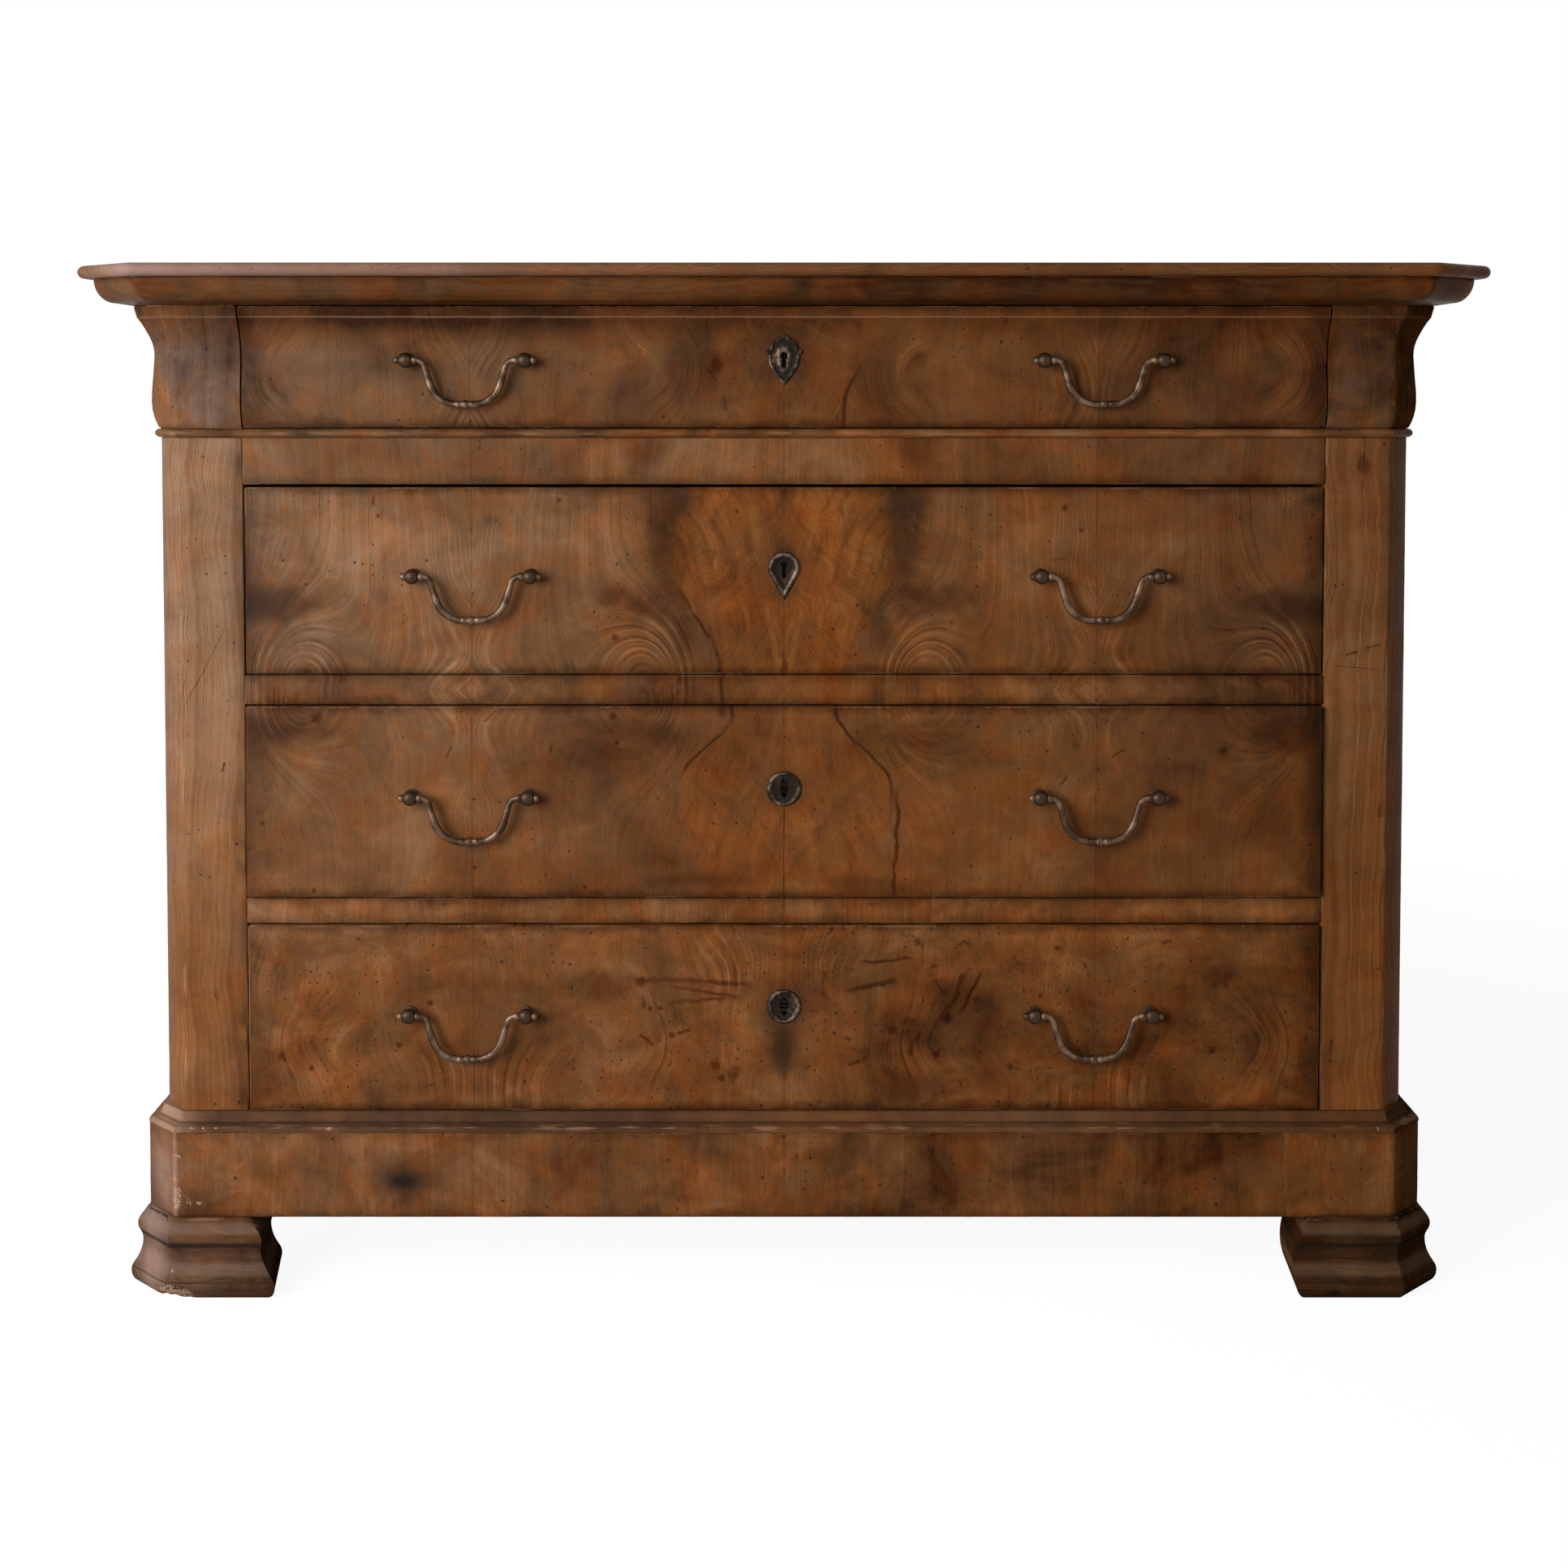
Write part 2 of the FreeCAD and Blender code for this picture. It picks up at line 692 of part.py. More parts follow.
def make_posts(drawer, front):
    solids = []
    y = axis_y(drawer)
    z = handle_height(drawer)
    back = front_back_y(drawer)
    end = back + nut_thickness + stem_past_nut
    face = y + handle_standoff
    for x in post_places(drawer):
        centre = Vector(x, y, z)
        ball = Part.makeSphere(post_ball_radius, centre, Vector(0, 1, 0))
        neck = Part.makeCylinder(post_neck_radius, face - y, centre, Vector(0, 1, 0))
        collar = Part.makeCylinder(post_collar_radius, 2 * post_collar_height, Vector(
            x, face - post_collar_height, z), Vector(0, 1, 0)).cut(front)
        collar = collar.common(box(x - post_collar_radius, x + post_collar_radius, -top_depth,
                                   face + post_collar_height, 0, top_surface))
        stem = Part.makeCylinder(post_stem_radius, end - y, centre, Vector(0, 1, 0))
        hole = Part.makeCylinder(bail_pin_radius + pin_clearance, 2 * post_ball_radius + overrun,
                                 Vector(x - post_ball_radius - overrun / 2, y, z), Vector(1, 0, 0))
        post = ball.fuse([neck, collar.Solids[0], stem]).removeSplitter().cut(hole)
        nut = box(x - nut_width / 2, x + nut_width / 2, back, back + nut_thickness,
                  z - nut_width / 2, z + nut_width / 2)
        nut = nut.cut(Part.makeCylinder(post_stem_radius, nut_thickness + overrun,
                                        Vector(x, back, z), Vector(0, 1, 0)))
        solids += [post, nut]
    return solids


def rounded_path(points, radii):
    """Straight runs joined by tangent arcs, one radius for each inner point."""
    edges = []
    start = points[0]
    for before, corner, after, radius in zip(points, points[1:], points[2:], radii):
        into = (corner - before).normalize()
        out = (after - corner).normalize()
        setback = radius * math.tan(into.getAngle(out) / 2)
        first = corner - into * setback
        last = corner + out * setback
        towards = (out - into).normalize()
        reach = math.hypot(radius, setback) - radius
        edges.append(Part.makeLine(start, first))
        edges.append(Part.Arc(first, corner + towards * reach, last).toShape())
        start = last
    edges.append(Part.makeLine(start, points[-1]))
    return edges


def rod_along(path, radius):
    """A round rod: a cylinder on each straight run, a turned bend on each arc."""
    runs = []
    for edge in path:
        start = edge.Vertexes[0].Point
        disc = Part.Face(Part.Wire(Part.makeCircle(radius, start,
                                                   edge.tangentAt(edge.FirstParameter))))
        if isinstance(edge.Curve, Part.Circle):
            turn = math.degrees(edge.LastParameter - edge.FirstParameter)
            runs.append(disc.revolve(edge.Curve.Center, edge.Curve.Axis, turn))
        else:
            runs.append(disc.extrude(edge.Vertexes[-1].Point - start))
    return runs


def make_bail(drawer, centre_x):
    y = axis_y(drawer)
    z = handle_height(drawer)
    pin_end = handle_span / 2 + post_ball_radius + bail_end_play
    collar_x = handle_span / 2 - post_ball_radius - bail_end_play
    places = ((collar_x, 0), (bail_shoulder_half, 0), (bail_foot_half, -handle_drop),
              (-bail_foot_half, -handle_drop), (-bail_shoulder_half, 0), (-collar_x, 0))
    points = [Vector(centre_x + x, y, z + drop) for x, drop in places]
    bends = (bail_upper_bend, bail_lower_bend, bail_lower_bend, bail_upper_bend)
    runs = rod_along(rounded_path(points, bends), bail_radius)
    extras = [Part.makeSphere(bail_bead_radius, Vector(centre_x, y, z - handle_drop),
                              Vector(1, 0, 0))]
    for side in (-1, 1):
        extras.append(Part.makeCylinder(bail_pin_radius, pin_end - collar_x, Vector(
            centre_x + side * collar_x, y, z), Vector(side, 0, 0)))
        extras.append(Part.makeSphere(tip_radius, Vector(
            centre_x + side * (pin_end + tip_radius / 2), y, z), Vector(1, 0, 0)))
        ring_x = centre_x + side * bail_ring_offset - bail_ring_width / 2
        extras.append(Part.makeCylinder(bail_ring_radius, bail_ring_width, Vector(
            ring_x, y, z - handle_drop), Vector(1, 0, 0)))
    return runs[0].fuse(runs[1:] + extras).removeSplitter()


def build_carcass():
    save("top_board", make_top())
    save("cornice_mouldings", *make_cornice())
    block = make_frieze_block()
    save("frieze_blocks", block, mirrored(block))
    frieze_side = make_frieze_side()
    save("frieze_sides", frieze_side, mirrored(frieze_side))
    save("bead_mouldings", *make_beads())
    stile = make_stile()
    save("stile_left", stile)
    save("stile_right", mirrored(stile))
    post = make_rear_post()
    save("rear_posts", post, mirrored(post))
    panel = side_panel()
    save("side_panels", panel, mirrored(panel))
    save("back_boards", *make_back_boards())
    for (name, z0, z1), drawer in zip(rails(), drawers[1:]):
        save(name, make_rail(z0, z1, drawer))
    save("bottom_board", make_bottom_board())
    runners = [make_runner(drawer["bottom"]) for drawer in drawers]
    save("drawer_runners", *runners, *[mirrored(runner) for runner in runners])
    stops = [make_stop(drawer) for drawer in drawers]
    save("drawer_stops", *stops, *[mirrored(stop) for stop in stops])


def build_base():
    plinth = mitred_lengths(plinth_outline(), 0, plinth_projection, foot_height, plinth_top)
    save("plinth_front", plinth[0])
    save("plinth_returns", *plinth[1:])
    save("plinth_mouldings", *mitred_lengths(plinth_moulding_outline(), 0, plinth_projection,
                                             plinth_top, lower_opening_bottom))
    save("front_feet", make_foot(foot_profile_shares), mirrored(make_foot(foot_bow_shares)))


def build_drawer(drawer):
    name = drawer["name"]
    front = make_front(drawer)
    side = make_side(drawer)
    save(name + "_front", front)
    save(name + "_sides", side, mirrored(side))
    save(name + "_back", make_back(drawer))
    save(name + "_bottom", bottom_space(drawer))
    save(name + "_keyhole_plate", make_plate(drawer))
    save(name + "_lock", make_lock(drawer))
    save(name + "_lock_bolt", make_bolt(drawer))
    save(name + "_handle_posts", *make_posts(drawer, front))
    for side, centre_x in zip(("left", "right"), handle_centres(drawer)):
        save(name + "_handle_" + side, make_bail(drawer, centre_x))


os.makedirs("parts", exist_ok=True)
build_carcass()
build_base()
for each_drawer in drawers:
    build_drawer(each_drawer)
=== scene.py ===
import math

import bmesh
import bpy
from bpy.props import FloatProperty, FloatVectorProperty, PointerProperty
from mathutils import Euler, Matrix, Vector, noise
from mathutils.bvhtree import BVHTree
from mathutils.geometry import interpolate_bezier


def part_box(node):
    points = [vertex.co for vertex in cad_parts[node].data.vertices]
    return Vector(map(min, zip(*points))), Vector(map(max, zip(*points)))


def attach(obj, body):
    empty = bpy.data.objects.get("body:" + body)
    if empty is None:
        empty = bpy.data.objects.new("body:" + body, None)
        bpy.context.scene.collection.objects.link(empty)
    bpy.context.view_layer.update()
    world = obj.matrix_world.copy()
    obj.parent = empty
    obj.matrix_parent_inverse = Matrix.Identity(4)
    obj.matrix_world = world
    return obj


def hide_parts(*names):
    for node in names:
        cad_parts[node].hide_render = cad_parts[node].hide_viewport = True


bl_info = {
    "name": "Walnut chest of drawers",
    "version": (1, 0, 0),
    "blender": (4, 5, 0),
    "location": "3D View > Sidebar > Chest",
    "description": "Dresses the chest's fixed frame with worn walnut, veneer figure and bronze fittings",
    "category": "Object",
}

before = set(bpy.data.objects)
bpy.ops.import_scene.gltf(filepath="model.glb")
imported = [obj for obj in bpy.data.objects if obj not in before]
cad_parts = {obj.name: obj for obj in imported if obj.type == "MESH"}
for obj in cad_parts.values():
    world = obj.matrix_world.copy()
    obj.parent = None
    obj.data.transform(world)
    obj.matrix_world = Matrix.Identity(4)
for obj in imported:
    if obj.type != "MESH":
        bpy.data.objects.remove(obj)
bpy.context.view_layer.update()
MM = 0.001
DRAWERS = ("drawer_1", "drawer_2", "drawer_3", "drawer_4")
SIDES = ("left", "right")


# Settings that a user would change

class WoodSettings(bpy.types.PropertyGroup):
    """Colours and leaves of the walnut."""
    dark: FloatVectorProperty(
        name="Dark wood", description="Darkest streaks of the walnut", subtype="COLOR",
        default=(0.038, 0.0125, 0.004))
    middle: FloatVectorProperty(
        name="Middle wood", description="Usual colour of the walnut", subtype="COLOR",
        default=(0.165, 0.058, 0.0155))
    light: FloatVectorProperty(
        name="Light wood", description="Palest streaks of the walnut", subtype="COLOR",
        default=(0.335, 0.140, 0.048))
    flame: FloatVectorProperty(
        name="Flame", description="Orange colour in the middle of a figured front",
        subtype="COLOR", default=(0.300, 0.100, 0.021))
    # Soot also paints shade: in creases and hollows, in keyholes and on faces turned from the light.
    soot: FloatVectorProperty(
        name="Soot", description="Grey-brown of old dirt", subtype="COLOR",
        default=(0.022, 0.013, 0.008))
    chip: FloatVectorProperty(
        name="Chip", description="Bare wood where the edge is knocked off", subtype="COLOR",
        default=(0.36, 0.23, 0.15))
    # The worn colour also paints sheen and highlights: on the cants and noses at the left, along lit
    # edges and in bands on the mouldings and feet.
    worn: FloatVectorProperty(
        name="Worn edge", description="Wood where an edge is rubbed", subtype="COLOR",
        default=(0.33, 0.18, 0.10))
    bare: FloatVectorProperty(
        name="Bare wood", description="Unpolished wood inside the chest", subtype="COLOR",
        default=(0.43, 0.265, 0.130))
    leaf: FloatProperty(
        name="Leaf width", description="Width of one leaf of veneer", unit="LENGTH",
        default=0.290)


class WearSettings(bpy.types.PropertyGroup):
    """How far edges are rubbed round."""
    edge: FloatProperty(
        name="Edge", description="Width of a rubbed edge", unit="LENGTH", default=0.0014)
    spacing: FloatProperty(
        name="Spacing", description="Length over which a rubbed edge changes",
        unit="LENGTH", default=0.012)
    depth: FloatProperty(
        name="Depth", description="How deep the knocks go", unit="LENGTH", default=0.0015)


class MetalSettings(bpy.types.PropertyGroup):
    """Colours of the fittings."""
    patina: FloatVectorProperty(
        name="Patina", description="Brown skin of the old bronze", subtype="COLOR",
        default=(0.044, 0.025, 0.014))
    dark: FloatVectorProperty(
        name="Dark skin", description="Darker skin of the keyhole plates", subtype="COLOR",
        default=(0.014, 0.009, 0.006))
    rubbed: FloatVectorProperty(
        name="Rubbed bronze", description="Bronze where hands keep it clean",
        subtype="COLOR", default=(0.150, 0.092, 0.058))
    rim: FloatVectorProperty(
        name="Rims", description="Raised rims of the keyhole plates", subtype="COLOR",
        default=(0.135, 0.090, 0.064))
    iron: FloatVectorProperty(
        name="Iron", description="Colour of the lock", subtype="COLOR",
        default=(0.070, 0.064, 0.060))


class StageSettings(bpy.types.PropertyGroup):
    """Camera and light."""
    distance: FloatProperty(
        name="Distance", description="From the camera to the front posts", unit="LENGTH",
        default=2.015)
    height: FloatProperty(
        name="Height", description="Height of the camera", unit="LENGTH", default=0.8503)
    tilt: FloatProperty(
        name="Tilt", description="How far the camera looks down", subtype="ANGLE",
        default=math.radians(2.4))
    lens: FloatProperty(
        name="Lens", description="Focal length in millimetres", default=50.0)
    shift: FloatProperty(
        name="Shift", description="Fall of the lens, as a share of the picture",
        default=-0.1986)
    key: FloatProperty(
        name="Key light", description="Power of the soft light at the left, in watts",
        default=94.0)
    side: FloatProperty(
        name="Side light", description="Power of the light past the left side, in watts",
        default=22.0)
    fill: FloatProperty(
        name="Fill light", description="Power of the light at the right, in watts",
        default=5.0)
    room: FloatProperty(
        name="Room light", description="Level of the light from all round", default=0.13)


# Steps of a material

class Wire:
    """One socket's value. It takes part in sums like a number."""

    def __init__(self, graph, socket):
        self.graph = graph
        self.socket = socket

    def __add__(self, other):
        return self.graph.math("ADD", self, other)

    def __sub__(self, other):
        return self.graph.math("SUBTRACT", self, other)

    def __rsub__(self, other):
        return self.graph.math("SUBTRACT", other, self)

    def __mul__(self, other):
        return self.graph.math("MULTIPLY", self, other)

    def __truediv__(self, other):
        return self.graph.math("DIVIDE", self, other)

    def __abs__(self):
        return self.graph.math("ABSOLUTE", self)

    __radd__ = __add__
    __rmul__ = __mul__

    def rise(self, low, high):
        """From 0 at low to 1 at high, smoothly, and flat beyond both."""
        node = self.graph.add("ShaderNodeMapRange", interpolation_type="SMOOTHSTEP")
        self.graph.feed(node.inputs["Value"], self)
        node.inputs["From Min"].default_value = min(low, high)
        node.inputs["From Max"].default_value = max(low, high)
        if low > high:
            node.inputs["To Min"].default_value = 1.0
            node.inputs["To Max"].default_value = 0.0
        return Wire(self.graph, node.outputs["Result"])


class Graph:
    """The nodes of a material or of the room's light, added a step at a time."""

    def __init__(self, owner):
        owner.use_nodes = True
        self.tree = owner.node_tree
        self.tree.nodes.clear()

    def add(self, kind, **settings):
        node = self.tree.nodes.new(kind)
        for key, value in settings.items():
            setattr(node, key, value)
        return node

    def feed(self, socket, value):
        if isinstance(value, Wire):
            self.tree.links.new(value.socket, socket)
        elif isinstance(value, (int, float)):
            socket.default_value = value
        else:
            socket.default_value = (*value, 1.0)[:len(socket.default_value)]

    def math(self, operation, *values):
        node = self.add("ShaderNodeMath", operation=operation)
        for socket, value in zip(node.inputs, values):
            self.feed(socket, value)
        return Wire(self, node.outputs[0])

    def join(self, x, y, z):
        node = self.add("ShaderNodeCombineXYZ")
        for socket, value in zip(node.inputs, (x, y, z)):
            self.feed(socket, value)
        return Wire(self, node.outputs[0])

    def split(self, vector):
        node = self.add("ShaderNodeSeparateXYZ")
        self.feed(node.inputs[0], vector)
        return [Wire(self, socket) for socket in node.outputs]

    def far_from(self, place, spot):
        node = self.add("ShaderNodeVectorMath", operation="DISTANCE")
        self.feed(node.inputs[0], place)
        node.inputs[1].default_value = spot
        return Wire(self, node.outputs["Value"])

    def blend(self, share, low, high, blend_type="MIX"):
        node = self.add("ShaderNodeMix", data_type="RGBA", blend_type=blend_type)
        node.clamp_factor = True
        self.feed(node.inputs["Factor"], share)
        self.feed(node.inputs[6], low)
        self.feed(node.inputs[7], high)
        return Wire(self, node.outputs[2])

    def seen_directly(self):
        """1 for what the camera, a reflection or a clear body shows, else 0."""
        path = self.add("ShaderNodeLightPath")
        camera, mirror, glass = (Wire(self, path.outputs["Is " + ray + " Ray"])
                                 for ray in ("Camera", "Glossy", "Transmission"))
        return self.math("MAXIMUM", self.math("MAXIMUM", camera, mirror), glass)


class Surface(Graph):
    """One finish. Its patterns read places in the piece's own axes, in metres."""

    def __init__(self, name):
        self.material = bpy.data.materials.new(name)
        super().__init__(self.material)
        self.shader = self.add("ShaderNodeBsdfPrincipled")
        output = self.add("ShaderNodeOutputMaterial")
        self.tree.links.new(self.shader.outputs["BSDF"], output.inputs["Surface"])
        coordinates = self.add("ShaderNodeTexCoord")
        self.place = Wire(self, coordinates.outputs["Object"])
        self.normal = Wire(self, coordinates.outputs["Normal"])
        self.x, self.y, self.z = self.split(self.place)

    def noise(self, place, scale, detail=2.0, roughness=0.5, distortion=0.0):
        node = self.add("ShaderNodeTexNoise", noise_dimensions="3D")
        self.feed(node.inputs["Vector"], place)
        node.inputs["Scale"].default_value = scale
        node.inputs["Detail"].default_value = detail
        node.inputs["Roughness"].default_value = roughness
        node.inputs["Distortion"].default_value = distortion
        return Wire(self, node.outputs["Fac"])

    def bands(self, value, per_metre, detail=2.0, roughness=0.5):
        """Streaks of uneven width that follow the level lines of a value."""
        node = self.add("ShaderNodeTexNoise", noise_dimensions="1D")
        self.feed(node.inputs["W"], value)
        node.inputs["Scale"].default_value = per_metre
        node.inputs["Detail"].default_value = detail
        node.inputs["Roughness"].default_value = roughness
        return Wire(self, node.outputs["Fac"])

    def chance(self, number):
        """A random value for each whole number."""
        node = self.add("ShaderNodeTexWhiteNoise", noise_dimensions="1D")
        self.feed(node.inputs["W"], number)
        return Wire(self, node.outputs["Value"])

    def specks(self, a, b, per_metre, share, radius):
        """Round specks in some of the cells of a random grid."""
        node = self.add("ShaderNodeTexVoronoi", voronoi_dimensions="2D")
        self.feed(node.inputs["Vector"], self.join(a, b, 0.0))
        node.inputs["Scale"].default_value = per_metre
        node.inputs["Randomness"].default_value = 0.95
        cell = self.add("ShaderNodeSeparateColor")
        self.tree.links.new(node.outputs["Color"], cell.inputs[0])
        chosen = self.math("LESS_THAN", Wire(self, cell.outputs[0]), share)
        size = Wire(self, cell.outputs[1]) * 0.7 + 0.3
        distance = Wire(self, node.outputs["Distance"])
        return (distance / size).rise(radius * 1.4, radius * 0.6) * chosen

    def stroke(self, a, b, wander, centre, length, degrees, width):
        """A dark stroke, such as a crack, across a face. A broad one wanders more."""
        turn = math.radians(degrees)
        cos, sin = math.cos(turn), math.sin(turn)
        da, db = a - centre[0], b - centre[1]
        along = abs(da * cos + db * sin)
        across = abs(db * cos - da * sin + wander * (width * 9.0))
        return across.rise(width, width * 0.25) * along.rise(length * 0.55, length * 0.35)

    def bell(self, u, v, centre_u, centre_v, width_u, width_v):
        """1 at a centre, fading to 0 around it."""
        across = (u - centre_u) / width_u
        along = (v - centre_v) / width_v
        return self.math("EXPONENT", (across * across + along * along) * -1.0)

    def along_grain(self, axis, squeeze, x=None):
        """Places squeezed along one axis, so that a noise on them runs in streaks."""
        x = x or self.x
        return {"x": self.join(x * squeeze, self.y, self.z),
                "y": self.join(x, self.y * squeeze, self.z),
                "z": self.join(x, self.y, self.z * squeeze)}[axis]

    def facing_front(self):
        """1 on what faces the front, and 0 on sides, top and back."""
        return self.split(self.normal)[1].rise(-0.25, -0.65)

    def attribute(self, name):
        """How far a corner of the mesh is worn, as the shapes wrote it."""
        node = self.add("ShaderNodeAttribute", attribute_name=name)
        return Wire(self, node.outputs["Fac"])

    def finish(self, colour, roughness, height, specular, metallic=0.0):
        """Heights of the bump are in metres."""
        self.feed(self.shader.inputs["Base Color"], colour)
        self.feed(self.shader.inputs["Roughness"], roughness)
        self.shader.inputs["Specular IOR Level"].default_value = specular
        self.shader.inputs["Metallic"].default_value = metallic
        bump = self.add("ShaderNodeBump")
        bump.inputs["Strength"].default_value = 1.0
        bump.inputs["Distance"].default_value = 1.0
        self.feed(bump.inputs["Height"], height)
        self.tree.links.new(bump.outputs["Normal"], self.shader.inputs["Normal"])
        return self.material


class Walnut(Surface):
    """Polished walnut. Across the grain lies a, along it b. On veneer, u and v are a and b
    folded at the joints of the leaves, so that each leaf mirrors the next. The methods that
    name a thing lay it over the colour that is there."""

    def __init__(self, name, across, along, seed, leaves, mirror_z):
        super().__init__(name)
        self.wood = bpy.context.scene.chest_wood
        self.seed = seed
        self.leaves = leaves
        axes = {"x": self.x, "y": self.y, "z": self.z, "yz": self.z - self.y}
        self.a = self.u = axes[across]
        self.off_middle = abs(self.a)
        self.b = self.v = axes[along]
        if leaves:
            self.u = self.math("PINGPONG", self.a, self.wood.leaf)
        if mirror_z is not None:
            self.v = abs(self.b - mirror_z)
        unfolded = self.join(self.a + seed, self.b, self.y * 0.3)
        self.slow = self.noise(unfolded, 3.2, 2.0, 0.5)
        self.quick = self.noise(unfolded, 24.0, 3.0, 0.55)
        self.patches = self.noise(unfolded, 2.1, 2.0, 0.5)
        self.blotches = self.noise(unfolded, 19.0, 5.0, 0.66, 0.5)
        self.broken = self.noise(unfolded, 26.0, 5.0, 0.68, 0.8)
        self.ragged = self.noise(self.place, 520.0, 4.0, 0.7)
        folded = self.join(self.u + seed, self.v, 0.0)
        self.drift = self.noise(folded, 8.0, 2.0, 0.5)
        self.clouds = self.noise(folded, 5.0, 4.0, 0.6, 0.5)
        self.waver = (self.quick - 0.5) * 0.012
        self.unfolded = unfolded
        self.grain = self.along_grain(along, 0.1)

    def cover(self, share, paint):
        self.colour = self.blend(share, self.colour, paint)

    def tinge(self, share, tint):
        """Multiplies the colour by a tint, where 1 leaves it."""
        self.colour = self.blend(share, self.colour, tint, "MULTIPLY")

    def growth_lines(self, warp, burl, swirls, crotch):
        """The lines are the level lines of a field that runs across the grain and rises in a
        bell at each swirl, as they do round a knot or in a crotch."""
        field = (self.u + (self.slow - 0.5) * warp + (self.drift - 0.5) * (warp + burl)
                 + self.waver * 0.5)
        turning = None
        for *bell_place, height, slant in swirls:
            bell = self.bell(self.u, self.v, *bell_place)
            field = field + bell * (self.v * slant + height)
            turning = bell if turning is None else turning + bell
        if crotch:
            self.edge = self.crotch_edge(*crotch["edge"])
            self.inside = (self.edge - self.off_middle).rise(-0.004, 0.004)
            funnel = (self.off_middle / self.edge * 0.05 + self.v * 0.33
                      + (self.drift - 0.5) * warp * 4.0 + self.waver * 2.0)
            field = field + (funnel - field) * self.inside
        self.broad = self.bands(field + self.seed, 85.0, 2.0, 0.55)
        self.growth = self.bands(field + self.seed, 230.0, 1.0, 0.5)
        self.lines = self.bands(field + self.seed, 620.0, 2.0, 0.6)
        self.faint = self.quick.rise(0.38, 0.60)
        self.arcs = 0.20
        if turning is not None:
            self.arcs = turning.rise(0.0, 0.9) * self.faint * 0.95 + 0.20

    def crotch_edge(self, low, swell, fall):
        """Half width of the flame: it swells, then narrows. Both are (amount, from, to)."""
        edge = self.v.rise(swell[1], swell[2]) * swell[0] + low + self.waver
        return edge - self.v.rise(fall[1], fall[2]) * fall[0]

    def base_colour(self, tone, rings, fine, cloud, pale):
        """From dark to light wood, by lines, clouds and blotches."""
        shade = (tone + (self.broad - 0.5) * (self.arcs * rings)
                 + (self.growth - 0.5) * (self.arcs * rings * 0.9)
                 + (self.lines - 0.5) * (self.faint * fine * 0.5)
                 + (self.clouds - 0.5) * (self.lines + 0.5) * cloud
                 + (self.blotches - 0.5) * (cloud * 1.1) + (self.patches - 0.5) * (cloud * 0.8))
        for *bell_place, amount in pale:
            shade = shade + self.bell(self.a, self.b, *bell_place) * amount
        if self.leaves:
            leaf_number = self.math("FLOOR", self.a / self.wood.leaf)
            shade = shade + (self.chance(leaf_number + self.seed) - 0.5) * 0.12
        ramp = self.add("ShaderNodeValToRGB")
        stops = ramp.color_ramp.elements
        stops[0].position, stops[1].position = 0.0, 1.0
        stops[0].color = (*self.wood.dark, 1.0)
        stops[1].color = (*self.wood.light, 1.0)
        stops.new(0.5).color = (*self.wood.middle, 1.0)
        self.feed(ramp.inputs[0], shade)
        self.colour = Wire(self, ramp.outputs[0])

    def hues(self, orange, grey):
        """Patches of redder and greyer wood."""
        red = self.noise(self.unfolded, 21.0, 5.0, 0.72, 0.6)
        self.tinge(red.rise(0.48, 0.62) * orange, (1.15, 0.91, 0.68))
        self.tinge(red.rise(0.53, 0.40) * grey, (0.82, 1.00, 1.28))

    def flame(self, crotch):
        """The flame of a crotch, with feathers that lean outwards, and its dark rim."""
        strength = self.inside * crotch["strength"]
        self.tinge(strength, (1.28, 1.00, 0.56))
        lean = self.off_middle - self.v * 0.35 + (self.drift - 0.5) * 0.05
        feathers = self.noise(self.join(lean + self.seed, self.v * 0.12, 0.0), 95.0, 4.0, 0.65)
        self.cover(strength * feathers.rise(0.50, 0.72) * 0.8, self.wood.flame)
        self.cover(strength * feathers.rise(0.50, 0.28) * 0.7, self.wood.dark)
        self.cover(strength * (self.broad.rise(0.55, 0.25) * 0.25), self.wood.dark)
        rim = abs(self.off_middle - self.edge).rise(0.0034, 0.0006) * self.quick.rise(0.38, 0.52)
        rim = rim * self.v.rise(crotch["rim"] + 0.02, crotch["rim"] - 0.02)
        self.cover(rim * 0.9, self.wood.dark)

    def smoke(self, patches):
        """Dark patches with torn edges, each on both sides of the middle."""
        for centre_u, centre_v, width_u, width_v, strength in patches:
            puff = self.bell(self.off_middle + (self.drift - 0.5) * 0.06,
                             self.b + (self.slow - 0.5) * 0.06,
                             centre_u, centre_v, width_u, width_v)
            torn = (puff * 1.1 + self.broken * 1.3 + self.growth * 0.35).rise(1.00, 1.95)
            self.tinge(torn * puff.rise(0.02, 0.60) * strength, (0.36, 0.32, 0.32))

    def burl_eyes(self):
        eyes = self.noise(self.unfolded, 52.0, 3.0, 0.6, 1.5)
        self.cover(eyes.rise(0.60, 0.70) * self.patches.rise(0.46, 0.56) * 0.75, self.wood.dark)

    def pores_and_holes(self, pins):
        """Open pores, small holes with soot in them, and bruises. Pins is the share of holes."""
        self.pores = self.noise(self.grain, 620.0, 2.0, 0.6).rise(0.58, 0.70)
        self.cover(self.pores * 0.25, self.wood.dark)
        cluster = self.noise(self.unfolded, 8.0, 1.0, 0.5).rise(0.48, 0.58)
        self.holes = self.math("MAXIMUM", self.specks(self.a, self.b, 45.0, pins, 0.070),
                               self.specks(self.a, self.b, 110.0, pins * 2.0, 0.12) * cluster)
        self.cover(self.holes * 0.8, self.wood.soot)
        bruises = self.specks(self.a + self.waver * 2.5, self.b * 0.6 + self.waver, 15.0,
                              pins * 1.3, 0.085)
        self.tinge(bruises * self.broken.rise(0.35, 0.60) * 0.7, (0.30, 0.25, 0.24))

